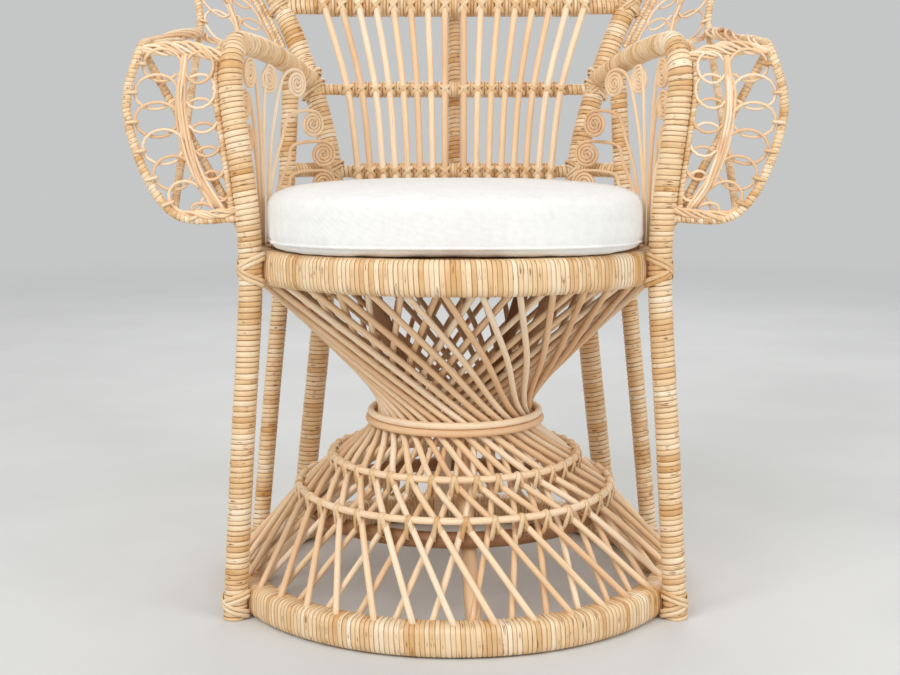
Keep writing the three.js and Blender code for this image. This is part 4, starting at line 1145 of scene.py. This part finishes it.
def make_fan():
    show_wound("fan_rim_wound", "fan_rim", rim_run, FAN_RIM_RADIUS, peel=THIN_PEEL, sides=9)

    outward = np.cross(BACK_NORMAL, upper_hoop_run.along)
    outward = outward / np.linalg.norm(outward, axis=1)[:, None]
    form = new_form()
    for stand in FAN_BORDERS:
        run = Run(upper_hoop_run.points + outward * stand, across=BACK_NORMAL)
        wind(form, run, FAN_BORDER_RADIUS, BORDER_PEEL, sides=8)
    show_peel("fan_border_canes", form)

    border = Run(upper_hoop_run.points + outward * (FAN_BORDERS[1] + FAN_BORDER_RADIUS), across=BACK_NORMAL)
    form, ties = new_form(), new_form()

    def spine(share):
        return border.point(share) * (1 - FAN_SPINE_SHARE) + rim_run.point(share) * FAN_SPINE_SHARE

    count = FAN_LOOPS_PER_SIDE
    for i in range(count):
        for flip in (False, True):
            def stem(share, flip=flip):
                return spine(1 - share / 2 if flip else share / 2)

            share = (i + 0.5) / count
            place = 1 - share / 2 if flip else share / 2
            rim = rim_run.point(place)
            spot, out = loop(form, stem, share, count, rim, BACK_NORMAL, FAN_RIM_RADIUS + LOOP_RADIUS)
            tie_loop(ties, spot, out, BACK_NORMAL, FAN_TIE)
            loop(form, stem, share, count, border.point(place), -BACK_NORMAL, LOOP_RADIUS + LOOP_CLEAR)
    for lift in (-1, 0, 1):
        line = [spine(s) + BACK_NORMAL * FAN_SPINE_PITCH * lift for s in np.linspace(0, 1, 60)]
        cane(form, Run(line, across=BACK_NORMAL), LOOP_RADIUS, sides=6, steps=120)
    show_core("fan_loop_canes", form, "fan_loops")
    show_peel("fan_loop_ties", ties)


def make_wings():
    for name, side in SIDES:
        flip = np.array((side, 1, 1))
        post = arm_at(name, WING_FOOT[1])
        front = [np.array((abs(post[0]), post[1], WING_FOOT[1] - WING_RIM_RADIUS)) * flip]
        front += [np.array((x, WING_FRONT_Y, z)) * flip for x, z in (WING_FOOT, WING_WIDEST, WING_TOP)]
        fan_foot = on_back(side * FAN_STATIONS[0][0], FAN_STATIONS[0][1]) + (0, 0, FAN_RIM_RADIUS)
        crest = front[3] + (fan_foot - front[3]) * WING_CREST[0]
        crest[2] = WING_TOP[1] + WING_CREST[1]
        tail = fan_foot + (front[3] - fan_foot) * WING_TAIL_SHARE
        rim = Run(smooth([*front, crest, tail, fan_foot]), across=(1, 1, 0))
        node = f"{name}_wing_rim"
        show_wound(f"{node}_wound", node, rim, WING_RIM_RADIUS, peel=THIN_PEEL, sides=9)

        form, ties = new_form(), new_form()
        edge = Run(smooth(front), across=(0, 1, 0))
        head = arm_at(name, WING_TOP[1] - WING_HEAD_DROP)
        forward = np.array((0, -1, 0))

        def side_line(share):
            return (post + (head - post) * share) * (1, 0, 1) + (0, WING_FRONT_Y, 0)

        def edge_line(share):
            return edge.point(WING_EDGE_START + (1 - WING_EDGE_START) * share)

        def spine(share):
            return side_line(share) * (1 - WING_SPINE_SHARE) + edge_line(share) * WING_SPINE_SHARE

        rim_stand = WING_RIM_RADIUS + LOOP_RADIUS
        post_stand = ARM_POLE_RADIUS + 2 * PIPING_RADIUS - LOOP_RADIUS
        for i in range(WING_LOOPS):
            share = (i + WING_LOOP_START) / WING_LOOPS
            spot, out = loop(form, spine, share, WING_LOOPS, edge_line(share), forward, rim_stand)
            tie_loop(ties, spot, out, forward, WING_TIE)
            behind = side_line(share) - forward * (2 * PIPING_RADIUS + LOOP_RADIUS)
            loop(form, spine, share, WING_LOOPS, behind, -forward, post_stand)
        bundle(form, [spine(place) for place in SPINE_PLACES], forward, *SPINE_BUNDLE, twist=SPINE_TWIST)
        corner = front[3]
        bundle(form, [head, (head + corner) / 2 + TOP_BOW, corner], forward, *TOP_BUNDLE)
        bundle(form, [post + FOOT_STAND, (post + front[1]) / 2 + FOOT_BOW, front[1]], forward, *FOOT_BUNDLE)
        lean = np.array((0, 0, 1))
        bundle(form, [corner, (corner + fan_foot) / 2 + flip * CREST_BOW, fan_foot], lean, *CREST_BUNDLE)
        arm = rail_at(name, ARM_BUNDLE_Y) + (side * ARM_POLE_RADIUS, 0, 0)
        bundle(form, [arm, (arm + fan_foot) / 2 + flip * ARM_BOW, fan_foot], lean, *ARM_BUNDLE)
        show_core(f"{name}_wing_canes", form, f"{name}_wing_loops")
        show_peel(f"{name}_wing_ties", ties)

        brace_foot = arm_at(name, WING_BRACE_FOOT) + (side * ARM_POLE_RADIUS / 2, WING_BRACE_BACK[0], 0)
        brace_head = corner * (1, 0, 1) + (0, WING_FRONT_Y + WING_BRACE_BACK[1], 0)
        struts = (("brace", brace_foot, brace_head, (0, 1, 0)), ("stay", front[1], fan_foot, (1, 0, 0)))
        for strut, low, high, across in struts:
            node = f"{name}_wing_{strut}"
            run = Run(straight(low, high), across=across)
            show_wound(f"{node}_wound", node, run, WING_STRUT_RADIUS, peel=THIN_PEEL, sides=9)


# Scrolls
def make_scrolls():
    ahead = np.array(SCROLL_REAR) - SCROLL_FRONT
    for name, side in SIDES:
        def panel(y, z):
            share = (y - SCROLL_FRONT[1]) / ahead[1]
            return np.array((side * (SCROLL_FRONT[0] + ahead[0] * share), y, z))

        panel_way = np.array((side * ahead[0], ahead[1], 0)) / np.linalg.norm(ahead)
        normal = np.cross(panel_way, (0, 0, 1))
        form = new_form()
        coils = [(*c, -1) for c in FRONT_COILS] + [(*c, 1) for c in REAR_COILS]
        for rank, (coil_y, coil_z, turned, way) in enumerate(coils):
            foot_y = SCROLL_FOOT_Y + SCROLL_STEM_PITCH * (rank - (len(coils) - 1) / 2)
            foot_z = SEAT_HEIGHT + REST_GAP
            top = coil_z + COIL_RADIUS
            t = np.linspace(0, 1, 16, endpoint=False)
            hold = [
                (foot_y, foot_z), (foot_y, foot_z + SCROLL_SWEEP * (top - foot_z)),
                (coil_y - SCROLL_SWEEP * (coil_y - foot_y), top), (coil_y, top),
            ]
            share = ((1 - t) ** 3, 3 * t * (1 - t) ** 2, 3 * t ** 2 * (1 - t), t ** 3)
            stem = [sum(s[i] * np.array(h) for s, h in zip(share, hold)) for i in range(len(t))]
            facing = np.clip((t - SCROLL_TURN_START) / (1 - SCROLL_TURN_START), 0, 1) ** 2
            places = [(y, z, faced) for (y, z), faced in zip(stem, facing)]
            for turn in np.linspace(0, COIL_TURNS, 46):
                radius = COIL_RADIUS - COIL_PITCH * turn
                angle = 2 * math.pi * turn
                places.append((coil_y + way * radius * math.sin(angle), coil_z + radius * math.cos(angle), 1))
            line = []
            for y, z, share in places:
                face = math.radians(turned) * share
                inward = np.array((-side, 0, 0)) * math.sin(face)
                line.append(panel(coil_y, z) + (y - coil_y) * (panel_way * math.cos(face) + inward))
            shift = normal * (SCROLL_LAP if rank % 2 else -SCROLL_LAP)
            cane(form, Run(np.array(line) + shift, across=normal), SCROLL_RADIUS, sides=8, steps=80)
        show_core(f"{name}_scroll_canes", form, f"{name}_scroll_panel")


# The pad
def pad_reach(angle):
    """Radius of a rounded square of half width 1."""
    shares = (abs(math.cos(angle)), abs(math.sin(angle)))
    return sum(share ** PAD_SQUARENESS for share in shares) ** (-1 / PAD_SQUARENESS)


def make_pad():
    """A case of canvas sewn round a foam block, blown up a little by its filling."""
    form = bmesh.new()
    chain = [form.verts.new((across, 0, up)) for across, up in PAD_SECTION]
    edges = [form.edges.new(pair) for pair in zip(chain, chain[1:])]
    bmesh.ops.spin(
        form, geom=chain + edges, cent=(0, 0, 0), axis=(0, 0, 1), angle=2 * math.pi, steps=72, use_merge=True,
        use_duplicate=False,
    )
    bmesh.ops.remove_doubles(form, verts=form.verts, dist=1e-5)
    for vert in form.verts:
        angle = math.atan2(vert.co.y, vert.co.x)
        reach = pad_reach(angle)
        up = vert.co.z
        crown = max(0, up - PAD_BREAK) * PAD_CROWN_SLOPE * PAD_CROWN
        rise = min(up, PAD_BREAK) * (PAD_HEIGHT - PAD_SHRINK) + crown
        taper = 1 - PAD_REAR_TAPER * min(1, max(0, vert.co.y * reach / PAD_TAPER_START))
        vert.co = (
            vert.co.x * reach * taper * (PAD_HALF_WIDTH - PAD_SHRINK) / 1000,
            (PAD_CENTRE_Y + AXIS_Y + vert.co.y * reach * (PAD_HALF_DEPTH - PAD_SHRINK)) / 1000,
            (PAD_BOTTOM + PAD_LIFT + rise) / 1000,
        )
    pad = show("seat_pad", form, CANVAS, body="cushion", stands_for=("cushion",))
    stuff(pad)
    subdivision = pad.modifiers.new("soft", "SUBSURF")
    subdivision.levels = subdivision.render_levels = 1
    make_welt(pad)


def stuff(pad):
    """Fills the pad as cloth under pressure, then draws it in along its seam."""
    remesh = pad.modifiers.new("even", "REMESH")
    remesh.mode = "VOXEL"
    remesh.voxel_size = PAD_VOXEL
    flatten(pad)
    rest = np.array([vert.co for vert in pad.data.vertices])
    cloth = pad.modifiers.new("filling", "CLOTH")
    cloth.settings.use_pressure = True
    cloth.settings.uniform_pressure_force = PAD_PRESSURE
    cloth.settings.effector_weights.gravity = 0
    cloth.point_cache.frame_start = 1
    cloth.point_cache.frame_end = PAD_STEPS
    for step in range(1, PAD_STEPS + 1):
        bpy.context.scene.frame_set(step)
    flatten(pad)
    bpy.context.scene.frame_set(1)
    moved = np.array([vert.co for vert in pad.data.vertices]) - rest
    length = np.linalg.norm(moved, axis=1)[:, None]
    capped = rest + moved * np.minimum(1, PAD_FILL_LIMIT / np.maximum(length, 1e-9))
    low = (PAD_BOTTOM + PAD_GAP) / 1000
    high = (PAD_BOTTOM + PAD_HEIGHT + PAD_CROWN + PAD_SWELL) / 1000
    centre_y = (PAD_CENTRE_Y + AXIS_Y) / 1000
    seam = PAD_SEAM_HEIGHT / 1000
    for vert, spot in zip(pad.data.vertices, capped):
        x, y, z = spot
        angle = math.atan2(y - centre_y, x)
        edge = math.hypot(x, y - centre_y) / (pad_reach(angle) * PAD_HALF_WIDTH / 1000)
        outer = max(0.0, min(1.0, (edge - SEAM_EDGE[0]) / SEAM_EDGE[1]))
        pucker, tuck = (deep * math.exp(-((z - seam) / wide) ** 2) * outer for deep, wide in (PUCKER, TUCK))
        pucker *= math.sin(angle * PUCKERS[0] + 2 * math.sin(angle * 5)) + 0.5 * math.sin(angle * PUCKERS[1])
        away = Vector((math.cos(angle), math.sin(angle), 0)) * (pucker - tuck)
        vert.co = (x + away.x, y + away.y, min(max(z, low), high))


def flatten(piece):
    """Makes the shape that the modifiers give the piece's own mesh."""
    graph = bpy.context.evaluated_depsgraph_get()
    made = bpy.data.meshes.new_from_object(piece.evaluated_get(graph), depsgraph=graph)
    piece.modifiers.clear()
    old = piece.data
    made.materials.clear()
    made.materials.append(CANVAS)
    piece.data = made
    made.shade_smooth()
    bpy.data.meshes.remove(old)


def make_welt(pad):
    """The corded seam round the pad, near its lower edge."""
    faces = BVHTree.FromPolygons([v.co for v in pad.data.vertices], [p.vertices for p in pad.data.polygons])
    centre = Vector((0, (PAD_CENTRE_Y + AXIS_Y) / 1000, PAD_SEAM_HEIGHT / 1000))
    line = []
    for i in range(WELT_POINTS + 1):
        angle = 2 * math.pi * (i % WELT_POINTS) / WELT_POINTS
        way = Vector((math.cos(angle), math.sin(angle), 0))
        spot, *_ = faces.ray_cast(centre + way * 0.5, -way)
        line.append(spot * 1000 - Vector((0, AXIS_Y, 0)) + way * WELT_STAND)
    form = new_form()
    cane(form, Run(np.array(line), closed=True), WELT_RADIUS, sides=8, steps=WELT_POINTS)
    show("pad_welt", form, CANVAS, body="cushion")


# The stage
def make_stage():
    form = bmesh.new()
    bmesh.ops.create_grid(form, x_segments=2, y_segments=2, size=FLOOR_HALF)
    mesh = bpy.data.meshes.new("floor")
    form.to_mesh(mesh)
    form.free()
    mesh.materials.append(floor_paint("pale_floor"))
    floor = bpy.data.objects.new("floor", mesh)
    floor.location.z = -FLOOR_DROP
    bpy.context.scene.collection.objects.link(floor)

    world = bpy.context.scene.world or bpy.data.worlds.new("studio")
    bpy.context.scene.world = world
    world.use_nodes = True
    world.node_tree.nodes["Background"].inputs["Color"].default_value = linear(SKY)
    world.node_tree.nodes["Background"].inputs["Strength"].default_value = SKY_STRENGTH
    for name, spot, size, power in LAMPS:
        lamp = bpy.data.lights.new(name, "AREA")
        lamp.size = size
        lamp.energy = power
        light = bpy.data.objects.new(name, lamp)
        light.location = spot
        light.rotation_euler = (Vector(LAMP_AIM) - Vector(spot)).to_track_quat("-Z", "Y").to_euler()
        bpy.context.scene.collection.objects.link(light)

    lens = bpy.data.cameras.new("camera")
    lens.lens = CAMERA_LENS
    lens.sensor_width = 36
    lens.shift_y = CAMERA_SHIFT
    camera = bpy.data.objects.new("camera", lens)
    camera.location = CAMERA_PLACE
    camera.rotation_euler = (math.radians(90 - CAMERA_PITCH), 0, 0)
    bpy.context.scene.collection.objects.link(camera)
    bpy.context.scene.camera = camera
    bpy.context.scene.view_settings.view_transform = "Standard"


make_stage()
make_ring("seat_ring_wound", SEAT_RING, "seat_ring_weave")
make_ring("base_ring_wound", BASE_RING, "base_ring_weave")
make_weave()
make_hoops()
make_inner_frame()
make_deck()
make_poles()
make_piping()
make_rails()
make_spindles()
make_lashings()
make_fan()
make_wings()
make_scrolls()
make_pad()
